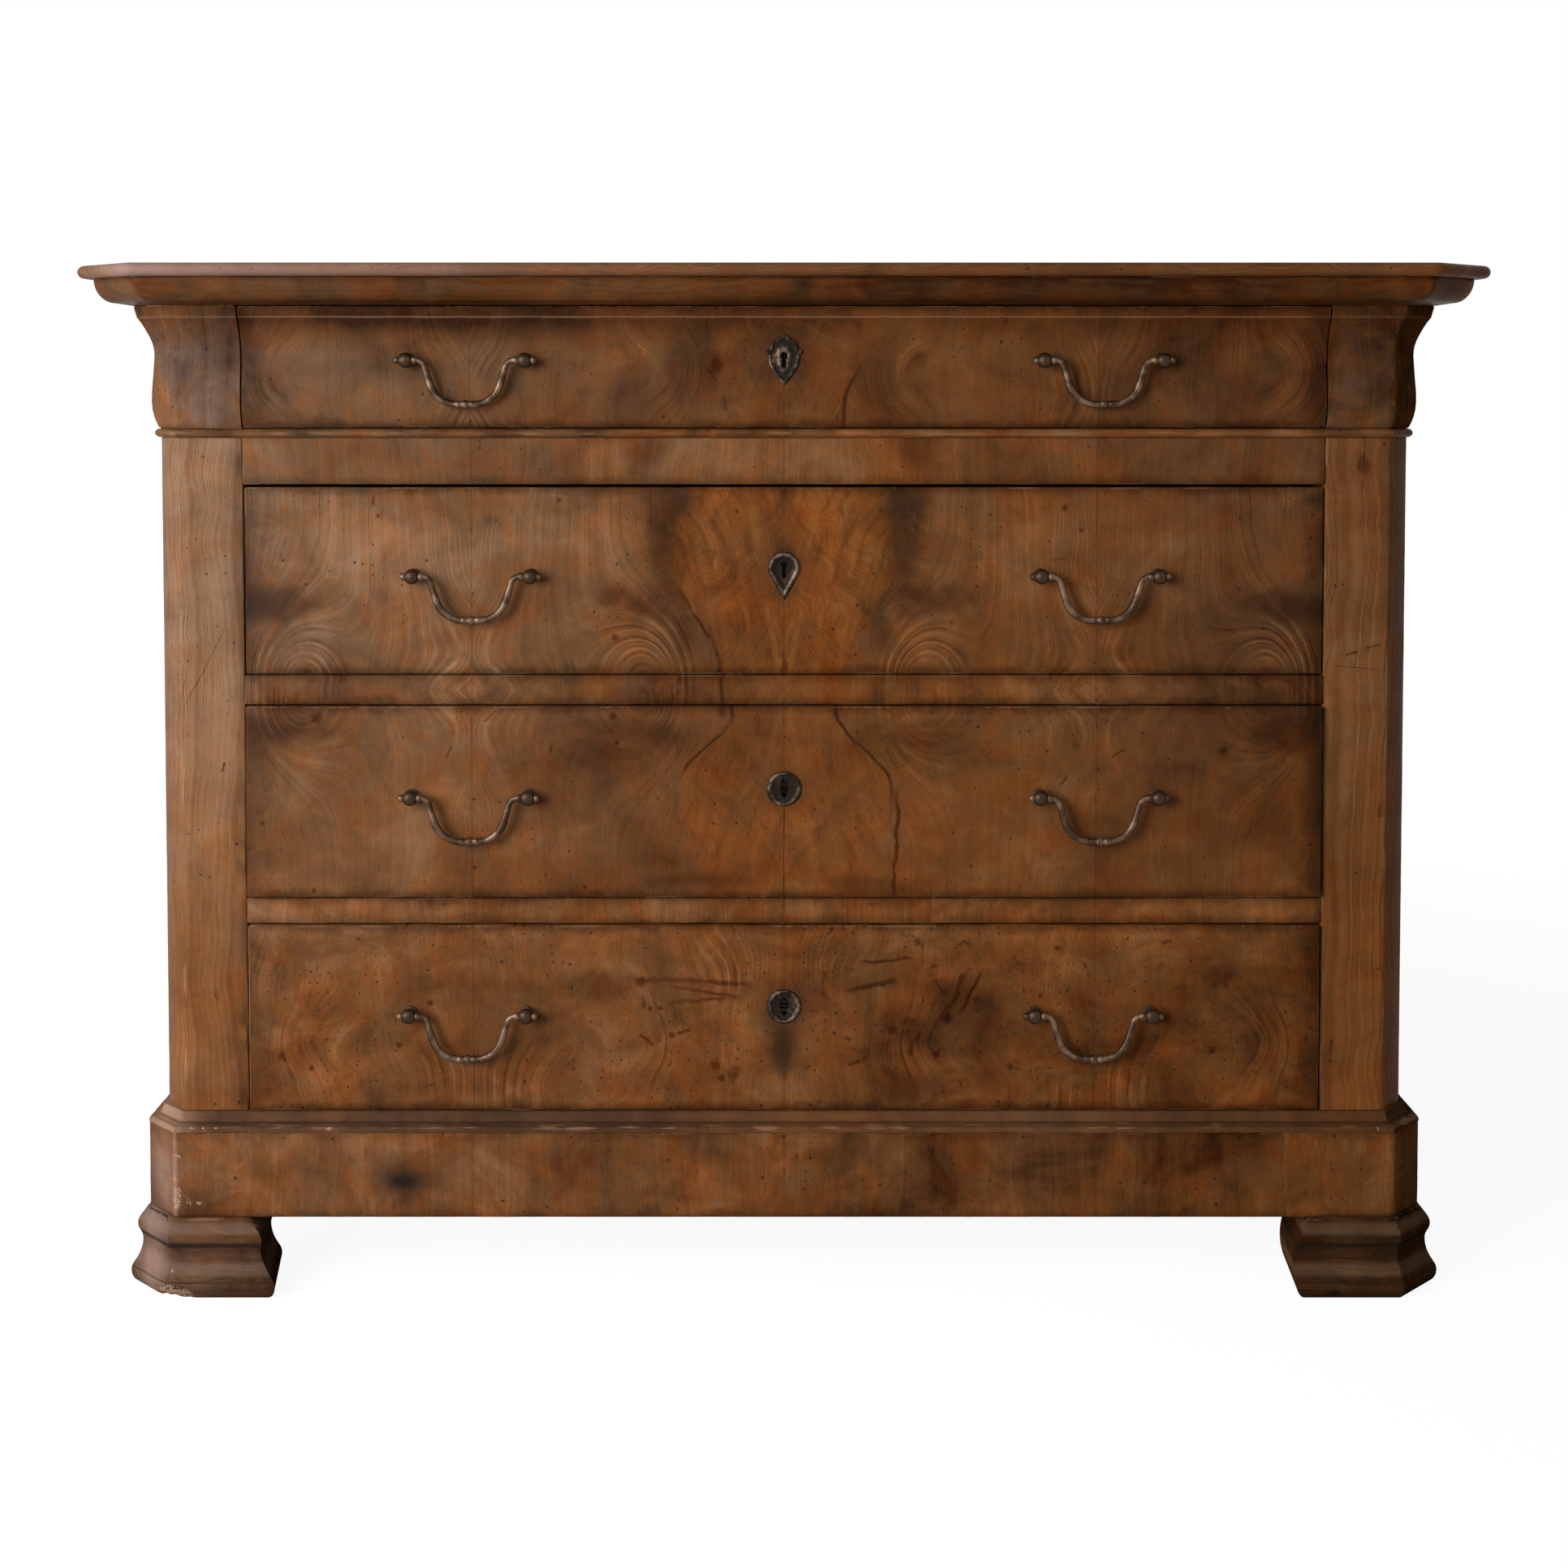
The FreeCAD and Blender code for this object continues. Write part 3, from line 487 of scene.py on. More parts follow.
    def spots_and_marks(self, spots, marks):
        """Round spots with ragged edges, and dark veins or cracks."""
        wavy = self.join(self.a + self.waver * 0.4, self.b - self.waver * 0.3, 0.0)
        for a, b, radius in spots:
            off_spot = self.far_from(wavy, (a, b, 0.0)) + (self.ragged - 0.5) * (radius * 2.0)
            self.tinge(off_spot.rise(radius * 1.5, radius * 0.4) * 0.85, (0.36, 0.25, 0.19))
        wander = (self.broken - 0.5) * 0.6 + (self.ragged - 0.5) * 0.05
        for mark in marks:
            vein = self.stroke(self.a, self.b, wander, *mark)
            self.tinge(vein * (self.blotches.rise(0.36, 0.60) * 0.5 + 0.4), (0.32, 0.23, 0.18))

    def leaf_joints(self):
        joint = self.math("MINIMUM", self.u, self.wood.leaf - self.u)
        self.cover(joint.rise(0.0006, 0.0002) * 0.5, self.wood.dark)

    def stains_and_painted_bands(self, stains, grooves):
        """Stains take the soot colour where the amount is above 0 and the worn colour where it is below:
        some are soiling and rubbed wood, others painted shade on shaded faces and painted sheen on lit
        ones. The bands at given heights are painted shade in creases and hollows, and painted highlights
        along edges and lit curves.
        """
        for *bell_place, amount in stains:
            spot = self.bell(self.a, self.b, *bell_place) * (self.broken + 0.5) * abs(amount)
            self.cover(spot, self.wood.soot if amount > 0 else self.wood.worn)
        # Bands at given heights: painted shade in creases and hollows, and painted highlights along
        # edges and lit curves.
        for height, half, amount in grooves:
            line = abs(self.z + self.waver * 0.1 - height).rise(half, half * 0.3)
            self.cover(line * (self.quick * 0.8 + 0.4) * abs(amount),
                       self.wood.soot if amount > 0 else self.wood.worn)

    def painted_sheen(self, front):
        """Painted sheen from the light at the left: the colour is made cooler and greyer to the left,
        and high up on what faces the front, and warmer to the right, away from that light.
        """
        high_up = self.z.rise(0.25, 0.68) * self.z.rise(0.915, 0.870)
        self.tinge(self.x.rise(0.20, -0.62), (0.98, 1.06, 1.26))
        self.tinge(self.x.rise(0.10, -0.50) * high_up, (1.04, 1.22, 1.55))
        self.tinge(self.x.rise(-0.10, 0.60), (1.00, 0.95, 0.82))
        self.tinge(high_up * front, (1.00, 1.08, 1.22))
        self.tinge(self.x.rise(0.10, 0.50) * (high_up * front), (0.96, 1.04, 1.30))

    def edge_dirt_and_painted_shade(self, border, dirt_and_shade, front):
        """Soiling and painted shade along the edges of a face, where it meets the next part, from its
        lowest and highest corner.
        """
        low, high = border
        sides = self.math("MINIMUM", self.x - low.x, high.x - self.x) + (self.broken - 0.5) * 0.05
        ends = self.math("MINIMUM", self.z - low.z, high.z - self.z) + (self.broken - 0.5) * 0.02
        grime_and_shade = self.math("MAXIMUM", sides.rise(0.030, 0.0), ends.rise(0.010, 0.0))
        self.tinge(grime_and_shade * front * dirt_and_shade, (0.30, 0.27, 0.27))

    def worn_edges(self, rub):
        streaks = self.noise(self.grain, 260.0, 3.0, 0.6)
        rubbed = (self.attribute("rubbed") + (streaks - 0.5) * 2.2).rise(0.55, 0.95)
        self.cover(rubbed * rub, self.wood.worn)
        self.chipped = (self.attribute("chipped") + (self.ragged - 0.5) * 3.0).rise(0.72, 0.95)
        self.cover(self.chipped * self.ragged.rise(0.30, 0.60), self.wood.chip)


def walnut(name, across="x", along="z", tone=0.5, rings=0.9, fine=0.6, cloud=1.1, grey=0.5,
           warp=0.03, swirls=(), smoke=(), pale=(), crotch=None, leaves=False, mirror_z=None,
           burl=0.0, pins=0.06, marks=(), grooves=(), stains=(), spots=(), border=None, dirt_and_shade=0.5,
           gloss=0.42, shine=0.03, rub=0.65, orange=0.8, tint=None, seed=0.0):
    """A walnut finish. Places are in metres, across the grain first, then along it.
    swirls: (place, place, width, width, height of the field, slant) of each.
    smoke, pale, stains: (place, place, width, width, amount) of each.
    spots: (place, place, radius) of each; marks: ((place, place), length, degrees, width).
    grooves: (height, half width, amount) of each band, painted shade where the amount is above 0 and a
    painted highlight where it is below."""
    g = Walnut(name, across, along, seed, leaves, mirror_z)
    g.growth_lines(warp, burl, swirls, crotch)
    g.base_colour(tone, rings, fine, cloud, pale)
    g.hues(orange, grey)
    if crotch:
        g.flame(crotch)
    g.smoke(smoke)
    if burl:
        g.burl_eyes()
    g.pores_and_holes(pins)
    g.spots_and_marks(spots, marks)
    if leaves:
        g.leaf_joints()
    g.stains_and_painted_bands(stains, grooves)
    front = g.facing_front()
    # Painted sheen from the light at the left, and warmer wood away from it.
    g.painted_sheen(front)
    if tint:
        g.tinge(1.0, tint)
    # Soiling and painted shade along the joints round each face.
    if border:
        g.edge_dirt_and_painted_shade(border, dirt_and_shade, front)
    g.worn_edges(rub)
    roughness = (g.quick - 0.5) * 0.2 + gloss + (g.clouds - 0.5) * 0.15 + g.chipped * 0.3
    ripple = g.noise(g.place, 22.0, 2.0, 0.5)
    height = ripple * 0.0005 + g.lines * 0.00002 + (g.pores + g.holes * 5.0) * -0.00005
    return g.finish(g.colour, roughness, height, shine)


def bare_wood(name, along="x", tone=(1.0, 1.0, 1.0), boards=None):
    """Planed, unpolished wood with open streaks, for what no one sees when the drawers are shut.
    Boards that lie side by side along X each have their own tone: (start, width of each)."""
    wood = bpy.context.scene.chest_wood
    g = Surface(name)
    x = g.x
    own = 0.0
    if boards:
        start, width = boards
        number = g.math("FLOOR", (g.x - start) / width)
        own = g.chance(number) - 0.5
        x = g.x + number * 3.7
    grain = g.along_grain(along, 0.12, x)
    slow = g.noise(grain, 14.0, 3.0, 0.55, 0.6)
    streaks = g.noise(grain, 150.0, 3.0, 0.6)
    saws = g.noise(grain, 600.0, 1.0, 0.5)
    pale = tuple(c * t for c, t in zip(wood.bare, tone))
    deep = tuple(c * 0.45 for c in pale)
    shade = (slow - 0.5) * 1.6 + (streaks - 0.5) * 1.1 + 0.5 + own * 0.5
    colour = g.blend(shade, deep, pale)
    stains = g.noise(g.place, 5.0, 3.0, 0.6).rise(0.55, 0.75)
    colour = g.blend(stains * 0.35, colour, wood.middle)
    colour = g.blend(g.attribute("rubbed") * 0.35, colour, wood.soot)
    return g.finish(colour, (streaks - 0.5) * 0.2 + 0.72, streaks * 0.0002 + saws * 0.00006,
                    specular=0.06)


def old_metal(name, skin, rubbed, wear, rough):
    """Dark patina, rubbed back to clean metal where it is handled."""
    g = Surface(name)
    mottle = g.noise(g.place, 260.0, 4.0, 0.6)
    broad = g.noise(g.place, 60.0, 2.0, 0.5)
    clean = (mottle * 0.6 + broad * 0.7 + g.attribute("rubbed") * wear - 0.35).rise(0.35, 0.75)
    return g.finish(g.blend(clean, skin, rubbed), (0.5 - mottle) * 0.3 + rough,
                    mottle * 0.00025 + broad * 0.0003, specular=0.2, metallic=0.75)


# Shapes

# Angles are between two faces, in radians: less than flat is one face, between curve and
# arris is a curve, and more than sharp is shaded as an edge
FLAT_ANGLE = 0.005
CURVE_ANGLE = 0.02
ARRIS_ANGLE = 0.6
SHARP_ANGLE = math.radians(28.0)
SAME_PLACE = 1e-5
ARRIS_SEGMENTS = 3
ROD_SIDES = 16
LATHE_SIDES = 24

# How near its crest a moulding is rubbed, and how deep its skin is worn
RUBBED_LIP = 0.0035
WORN_SKIN = 0.0006


def corners(*nodes):
    """Lowest and highest corner of several nodes together."""
    boxes = [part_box(node) for node in nodes]
    low = Vector(min(box[0][i] for box in boxes) for i in range(3))
    high = Vector(max(box[1][i] for box in boxes) for i in range(3))
    return low, high


def middle_of(node):
    low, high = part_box(node)
    return (low + high) / 2


def cut_places(low, high, spacing, keep, clear, gap):
    """Evenly spaced places between two ends, with the places to keep among them, and none
    within a gap of the places to keep clear."""
    count = max(1, round((high - low) / spacing))
    places = [low + (high - low) * i / count for i in range(1, count)]
    places = [p for p in places if all(abs(p - k) > spacing * 0.4 for k in keep)
              and all(abs(p - c) > gap for c in clear)]
    return sorted([*places, *(k for k in keep if low < k < high)])


def cut_into_lengths(bm, arrises, spacing, keep, gap):
    """Cuts a mesh across each axis, so that its edges can wear unevenly. The old seams
    between level faces go."""
    level_at = [set() for axis in range(3)]
    for e in arrises:
        first, last = (vert.co for vert in e.verts)
        for axis in range(3):
            if abs(first[axis] - last[axis]) < SAME_PLACE:
                level_at[axis].add(round(first[axis], 5))
    cut = bm.edges.layers.int.new("cut")
    for axis in range(3):
        spots = [vert.co[axis] for vert in bm.verts]
        normal = Vector((axis == 0, axis == 1, axis == 2))
        for place in cut_places(min(spots), max(spots), spacing, keep.get(axis, ()),
                                level_at[axis], gap):
            made = bmesh.ops.bisect_plane(bm, geom=[*bm.verts, *bm.edges, *bm.faces], dist=1e-6,
                                          plane_co=normal * place, plane_no=normal)
            for item in made["geom_cut"]:
                if isinstance(item, bmesh.types.BMEdge):
                    item[cut] = 1
    level = [e for e in bm.edges
             if not e[cut] and len(e.link_faces) == 2 and e.calc_face_angle(1.0) < FLAT_ANGLE]
    bmesh.ops.dissolve_edges(bm, edges=level, use_verts=False)
    spare = [v for v in bm.verts
             if len(v.link_edges) == 2 and v.calc_edge_angle(1.0) < FLAT_ANGLE]
    bmesh.ops.dissolve_verts(bm, verts=spare)


def in_a_mitre(face):
    """Whether a face stands at the slant that only the mitres have, between two eighths."""
    turns = math.degrees(math.atan2(face.normal.y, face.normal.x)) / 45.0
    return abs(face.normal.z) < 0.01 and abs(turns % 1.0 - 0.5) < 0.05


def open_mitres(bm):
    """Lengths that meet in a mitre become one skin: the faces inside the joint go."""
    inside = set()
    waiting = [f for e in bm.edges if len(e.link_faces) > 2 for f in e.link_faces]
    while waiting:
        face = waiting.pop()
        if face not in inside and in_a_mitre(face):
            inside.add(face)
            waiting += [f for e in face.edges for f in e.link_faces]
    bmesh.ops.delete(bm, geom=list(inside), context="FACES")


def knock(bm, layer, place, radius, depth):
    """A chip, pushed into whatever lies near a place."""
    for vert in bm.verts:
        near = 1.0 - (vert.co - place).length / radius
        if near > 0.0:
            ragged = 0.75 + 0.5 * noise.noise(vert.co * 400.0)
            vert.co -= vert.normal * depth * min(1.0, near * 2.0) * ragged
            for loop in vert.link_loops:
                loop[layer] = max(loop[layer], min(1.0, near * 2.5))


def mark_arrises(bm, least):
    """Marks the outer edges that are long enough to be rubbed."""
    arris = bm.edges.layers.int.new("arris")
    for e in bm.edges:
        if len(e.link_faces) == 2 and e.calc_length() > least:
            e[arris] = int(e.calc_face_angle_signed(0.0) > ARRIS_ANGLE)
    return arris


def smooth_curves(bm):
    """Faces that turn a little from one to the next are shaded as one curve."""
    curved = set()
    for e in bm.edges:
        if len(e.link_faces) == 2 and CURVE_ANGLE < e.calc_face_angle(0.0) < ARRIS_ANGLE:
            curved.update(e.link_faces)
    for face in bm.faces:
        face.smooth = face in curved


def dent(bm, strips, edge, depth, knocked):
    """Presses small dents into the rubbed strips, where these are clear of other faces."""
    for vert in bm.verts:
        if vert.link_faces and all(face in strips for face in vert.link_faces):
            bend = max(face.normal.angle(vert.normal) for face in vert.link_faces)
            worn = max(0.0, noise.noise(vert.co * 45.0)) + max(0.0, noise.noise(vert.co * 140.0))
            deepest = edge * 0.7 * min(1.0, bend / math.radians(15.0)) ** 2
            vert.co -= vert.normal * min(worn * depth * knocked, deepest)


def worn_copy(nodes, edge=None, spacing=None, least=0.015, dents=1.0, keep=None, chips=()):
    """A copy of nodes' meshes whose long outer edges are rubbed round, with small dents.
    keep gives places along an axis where the mesh is cut too, and each of the chips is
    (place, radius, depth)."""
    wear = bpy.context.scene.chest_wear
    edge = edge or wear.edge
    bm = bmesh.new()
    for node in nodes:
        bm.from_mesh(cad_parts[node].data)
    bmesh.ops.remove_doubles(bm, verts=bm.verts, dist=SAME_PLACE)
    open_mitres(bm)
    arris = mark_arrises(bm, least)
    arrises = [e for e in bm.edges if e[arris]]
    cut_into_lengths(bm, arrises, spacing or wear.spacing, keep or {}, edge * 1.4)
    smooth_curves(bm)
    made = bmesh.ops.bevel(bm, geom=[e for e in bm.edges if e[arris]], offset=edge,
                           offset_type="OFFSET", segments=ARRIS_SEGMENTS, profile=0.5,
                           affect="EDGES", material=-1, clamp_overlap=False)
    rubbed = bm.loops.layers.float.new("rubbed")
    chipped = bm.loops.layers.float.new("chipped")
    bm.normal_update()
    strips = set(made["faces"])
    for face in strips:
        face.smooth = True
        for loop in face.loops:
            loop[rubbed] = 0.5 + noise.noise(loop.vert.co * 25.0)
    dent(bm, strips, edge, wear.depth, dents)
    for place, radius, depth in chips:
        knock(bm, chipped, Vector(place), radius, depth)
    return bm


def moulding(profile, plan, spacing, crest):
    """A moulding run along a path in plan. The profile's points are (outward, height), and
    hands and brooms rub it most at the height of its crest."""
    bm = bmesh.new()
    rubbed = bm.loops.layers.float.new("rubbed")
    bm.loops.layers.float.new("chipped")
    stations = []
    runs = [(b - a).normalized() for a, b in zip(plan, plan[1:])]
    pushes = [Vector((run.y, -run.x)) for run in runs]
    for index, (start, end) in enumerate(zip(plan, plan[1:])):
        before = pushes[max(0, index - 1)]
        mitre = (before + pushes[index]) / (1.0 + before.dot(pushes[index]))
        stations.append((start, mitre))
        count = max(1, round((end - start).length / spacing))
        stations += [(start.lerp(end, i / count), pushes[index]) for i in range(1, count)]
    stations.append((plan[-1], pushes[-1]))

    def ring(station):
        spot, push = station
        return [Vector((*(spot + push * out), height)) for out, height in profile]

    loop = [bm.verts.new(place) for place in ring(stations[0])]
    edges = list(bm.faces.new(loop).edges)
    for station in stations[1:]:
        made = bmesh.ops.extrude_edge_only(bm, edges=edges)["geom"]
        edges = [item for item in made if isinstance(item, bmesh.types.BMEdge)
                 and all(vert in made for vert in item.verts)]
        loop = [next(e.other_vert(old) for e in old.link_edges if e.other_vert(old) in made)
                for old in loop]
        for vert, place in zip(loop, ring(station)):
            vert.co = place
    bm.faces.new(loop)
    bmesh.ops.recalc_face_normals(bm, faces=bm.faces)
    bm.normal_update()
    for face in bm.faces:
        face.smooth = True
        for corner in face.loops:
            lip = max(0.0, 1.0 - abs(corner.vert.co.z - crest) / RUBBED_LIP)
            corner[rubbed] = lip * (0.55 + noise.noise(corner.vert.co * 40.0))
    for vert in bm.verts:
        low = noise.noise(vert.co * 30.0) + noise.noise(vert.co * 110.0) * 0.7
        vert.co -= vert.normal * max(0.0, low) * WORN_SKIN
    return bm


def rod(stations):
    """A round rod along a path of (centre, direction, radius), closed at both ends."""
    bm = bmesh.new()
    rubbed = bm.loops.layers.float.new("rubbed")
    last = None
    for centre, direction, radius in stations:
        turn = direction.to_track_quat("Z", "Y").to_matrix().to_4x4()
        ring = bmesh.ops.create_circle(bm, cap_ends=last is None, segments=ROD_SIDES,
                                       radius=radius, matrix=Matrix.Translation(centre) @ turn)
        edges = list(dict.fromkeys(e for v in ring["verts"] for e in v.link_edges))
        if last:
            bmesh.ops.bridge_loops(bm, edges=last + edges)
        last = edges
    bmesh.ops.holes_fill(bm, edges=last, sides=0)
    bmesh.ops.recalc_face_normals(bm, faces=bm.faces)
    for face in bm.faces:
        face.smooth = True
        for loop in face.loops:
            loop[rubbed] = 0.5 + noise.noise(loop.vert.co * 90.0)
    return bm


def lathe(profile, centre):
    """A turned shape about Y: the profile is (radius, distance along Y) from one end."""
    bm = bmesh.new()
    bm.loops.layers.float.new("rubbed")
    verts = [bm.verts.new((radius, distance, 0.0)) for radius, distance in profile]
    edges = [bm.edges.new(pair) for pair in zip(verts, verts[1:])]
    bmesh.ops.spin(bm, geom=verts + edges, cent=(0, 0, 0), axis=(0, 1, 0), dvec=(0, 0, 0),
                   angle=2 * math.pi, steps=LATHE_SIDES, use_merge=True, use_duplicate=False)
    bmesh.ops.remove_doubles(bm, verts=bm.verts, dist=0.000001)
    bmesh.ops.recalc_face_normals(bm, faces=bm.faces)
    for face in bm.faces:
        face.smooth = True
    bmesh.ops.translate(bm, verts=bm.verts, vec=centre)
    return bm


def plate(outer, inner, layers, wood_y):
    """A plate with a hole. Each layer is (share of the way in to the hole, height off the
    wood), and wood_y gives the wood's face at a height."""
    bm = bmesh.new()
    rubbed = bm.loops.layers.float.new("rubbed")
    loops = []
    for share, rise in layers:
        verts = []
        for rim, hole in zip(outer, inner):
            spot = Vector(rim).lerp(Vector(hole), share)
            verts.append(bm.verts.new((spot.x, wood_y(spot.y) - rise, spot.y)))
        loops.append([bm.edges.new(pair) for pair in zip(verts, verts[1:] + verts[:1])])
    for first, second in zip(loops, loops[1:] + loops[:1]):
        bmesh.ops.bridge_loops(bm, edges=first + second)
    bmesh.ops.recalc_face_normals(bm, faces=bm.faces)
    crest = max(rise for share, rise in layers)
    for face in bm.faces:
        face.smooth = True
        for loop in face.loops:
            off = wood_y(loop.vert.co.z) - loop.vert.co.y
            loop[rubbed] = max(0.0, off / crest - 0.4) * (1.2 + noise.noise(loop.vert.co * 300.0))
    return bm


def merged(meshes):
    """Several bmeshes in one."""
    whole = bmesh.new()
    for bm in meshes:
        part = bpy.data.meshes.new("part")
        bm.to_mesh(part)
        bm.free()
        whole.from_mesh(part)
        bpy.data.meshes.remove(part)
    return whole


def finish_piece(name, bm, material, body, slot, *nodes):
    """Turns a bmesh into a piece that rides on a body and stands for its nodes."""
    mesh = bpy.data.meshes.new(name)
    bm.to_mesh(mesh)
    bm.free()
    mesh.set_sharp_from_angle(angle=SHARP_ANGLE)
    piece = bpy.data.objects.new(name, mesh)
    bpy.context.scene.collection.objects.link(piece)
    mesh.materials.append(material)
    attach(piece, body)
    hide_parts(*nodes)


def worn_piece(node, material, body, slot, **wear):
    """A worn copy of one node. It stands for the node."""
    finish_piece(node + "_worn", worn_copy([node], **wear), material, body, slot, node)


def paint(node, material):
    """Gives a node that keeps its own mesh its finish."""
    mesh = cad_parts[node].data
    mesh.materials.clear()
    mesh.materials.append(material)


# Pieces

# CANT is what is cut off each way at the carcass's front corners. A patch as wide as
# EVERYWHERE has no end on the piece. CHIP_DEPTH is that of the chips along the plinth.
CANT = 0.022
BACK_BOARDS = 5
BEAD_STEPS = 10
EVERYWHERE = 9.0
CHIP_DEPTH = 0.0012

# The most that a foot's inner side swells, how far from the middle of the chest it starts
# to, and the distance over which that grows
FOOT_SWELL = 0.0125
SWELL_START = 0.56
SWELL_RUN = 0.06

# Two swirls in each leaf, measured up and down from the middle rail
MIRRORED_SWIRLS = ((0.122, 0.010, 0.048, 0.062, 0.12, 0.0),
                   (0.290, 0.010, 0.050, 0.050, 0.0, -0.9))


def carcass_plan(node):
    """The carcass's outline in plan, from the back left to the back right."""
    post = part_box("stile_left")[0]
    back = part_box(node)[1].y
    left = [(post.x, back), (post.x, post.y + CANT), (post.x + CANT, post.y)]
    return [Vector(spot) for spot in left + [(-x, y) for x, y in reversed(left)]]


class CHEST_OT_top(bpy.types.Operator):
    """Top board and cornice, with the grain along the front"""
    bl_idname = "chest.top"
    bl_label = "Top and cornice"

    def execute(self, context):
        top = walnut("top walnut", "yz", "x", tone=0.50, warp=0.05, cloud=0.5, rings=2.2, fine=1.0,
                     orange=0.3, tint=(0.95, 1.06, 1.40),
                     # The pale stains at the left of the nose are painted sheen from the light at the
                     # left.
                     stains=((1.245, -0.60, 0.03, 0.17, -0.62), (1.245, -0.35, 0.03, 0.12, -0.28)),
                     seed=3.0)
        worn_piece("top_board", top, "carcass", "walnut_top", edge=0.0018, spacing=0.014)
        cornice = walnut("cornice walnut", "yz", "x", tone=0.22, grey=1.0, warp=0.04, cloud=0.7,
                         pale=((-0.55, 0.0, 0.3, EVERYWHERE, 0.10),), seed=5.0)
        worn_piece("cornice_mouldings", cornice, "carcass", "walnut_top", edge=0.0008)
        return {"FINISHED"}


class CHEST_OT_frieze(bpy.types.Operator):
    """S-shaped blocks and sides of the frieze, and the bead under them"""
    bl_idname = "chest.frieze"
    bl_label = "Frieze"

    def execute(self, context):
        frieze = walnut("frieze walnut", tone=0.30, grey=0.9, seed=7.0,
                        pale=((0.60, 0.86, 0.10, 0.2, -0.06),), shine=0.0, tint=(1.0, 1.05, 1.25),
                        # The pale band at the fillet's lower edge is a painted highlight.
                        grooves=((0.9092, 0.0014, -0.20),))
        for node in ("frieze_blocks", "frieze_sides"):
            worn_piece(node, frieze, "carcass", "walnut_frieze", edge=0.001, least=0.03)
        bead = walnut("bead walnut", "yz", "x", tone=0.44, rub=0.30, seed=8.0)
        low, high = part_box("bead_mouldings")
        middle, half = (low.z + high.z) / 2, (high.z - low.z) / 2
        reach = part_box("stile_left")[0].x - low.x
        turns = [math.pi * i / BEAD_STEPS - math.pi / 2 for i in range(BEAD_STEPS + 1)]
        profile = [(math.cos(turn) * reach, middle + math.sin(turn) * half) for turn in turns]
        bm = moulding(profile, carcass_plan("bead_mouldings"), 0.008, middle)
        finish_piece("bead_mouldings_worn", bm, bead, "carcass", "walnut_frieze",
                     "bead_mouldings")
        return {"FINISHED"}


class CHEST_OT_posts_and_rails(bpy.types.Operator):
    """Front posts with canted edges, and the rails between the drawers"""
    bl_idname = "chest.posts_and_rails"
    bl_label = "Posts and rails"

    def execute(self, context):
        self.make_posts()
        self.make_rails()
        return {"FINISHED"}

    def make_posts(self):
        cracks = {
            "left": (((-0.5380, 0.5850), 0.080, 62, 0.0008), ((-0.5600, 0.5560), 0.040, 80, 0.0006),
                     ((-0.5224, 0.4915), 0.010, 80, 0.0016), ((-0.5380, 0.7804), 0.004, 0, 0.0016)),
            "right": (((0.5365, 0.7760), 0.060, 89, 0.0011), ((0.5273, 0.5978), 0.013, 20, 0.0016),
                      ((0.5461, 0.6039), 0.015, 14, 0.0010), ((0.5400, 0.5835), 0.060, -6, 0.0005),
                      ((0.5554, 0.4496), 0.012, 85, 0.0020), ((0.5123, 0.2275), 0.016, 80, 0.0022)),
        }
        # Paler strips down the cants: rubbed wood with painted sheen on the left cant, and painted light
        # on the right cant, which lies in shade.
        cants_rubbed_and_painted_light = ((-0.583, 0.45, 0.010, 0.40, -0.22), (0.585, 0.50, 0.008, 0.50, -0.12))
        for side, seed, tone in (("left", 11.0, 0.68), ("right", 13.0, 0.57)):
            node = "stile_" + side
            post = walnut(side + " post walnut", tone=tone, rings=1.4, fine=1.2, cloud=0.5,
                          orange=0.45, grey=0.3, border=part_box(node), dirt_and_shade=0.3, pins=0.05,
                          rub=0.5, marks=cracks[side], stains=cants_rubbed_and_painted_light,
                          pale=((-0.55, 0.30, 0.10, 0.16, -0.10),), seed=seed)
            worn_piece(node, post, "carcass", "walnut_carcass", edge=0.0014)

    def make_rails(self):
        mirror = middle_of("rail_middle").z
        flame = dict(edge=(0.058, (0.0, 0.0, 1.0), (0.0, 0.0, 1.0)), strength=0.5, rim=1.0)
        figures = {
            "rail_upper": dict(tone=0.38, cloud=0.7, smoke=((0.13, 0.775, 0.03, 0.04, 0.7),),
                               seed=17.0),
            "rail_middle": dict(tone=0.50, swirls=MIRRORED_SWIRLS, rings=0.55, mirror_z=mirror,
                                crotch=flame, smoke=((0.085, mirror, 0.012, 0.02, 0.5),)),
            "rail_lower": dict(tone=0.40, seed=2.0),
        }
        for node, figure in figures.items():
            rail = walnut(node + " walnut", leaves=True, border=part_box(node), dirt_and_shade=0.45,
                          rub=0.35, **figure)
            worn_piece(node, rail, "carcass", "walnut_carcass", edge=0.0008)


class CHEST_OT_sides_and_back(bpy.types.Operator):
    """Side panels, rear posts, back boards and what lies inside the carcass"""
    bl_idname = "chest.sides_and_back"
    bl_label = "Sides and back"

    def execute(self, context):
        panel = walnut("side walnut", "y", "z", tone=0.46, warp=0.05, rings=1.3, fine=0.9,
                       cloud=0.5, orange=0.35, seed=19.0)
        worn_piece("side_panels", panel, "carcass", "walnut_carcass")
        worn_piece("rear_posts", panel, "carcass", "secondary_wood")
        low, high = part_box("back_boards")
        boards = bare_wood("back board wood", "z", (0.95, 0.82, 0.70),
                           boards=(low.x, (high.x - low.x) / BACK_BOARDS))
        paint("back_boards", boards)
        inner = bare_wood("runner wood", "y", (0.85, 0.8, 0.75))
        for node in ("drawer_runners", "drawer_stops"):
            paint(node, inner)
        paint("bottom_board", bare_wood("bottom board wood", "x", (0.8, 0.75, 0.7)))
        return {"FINISHED"}


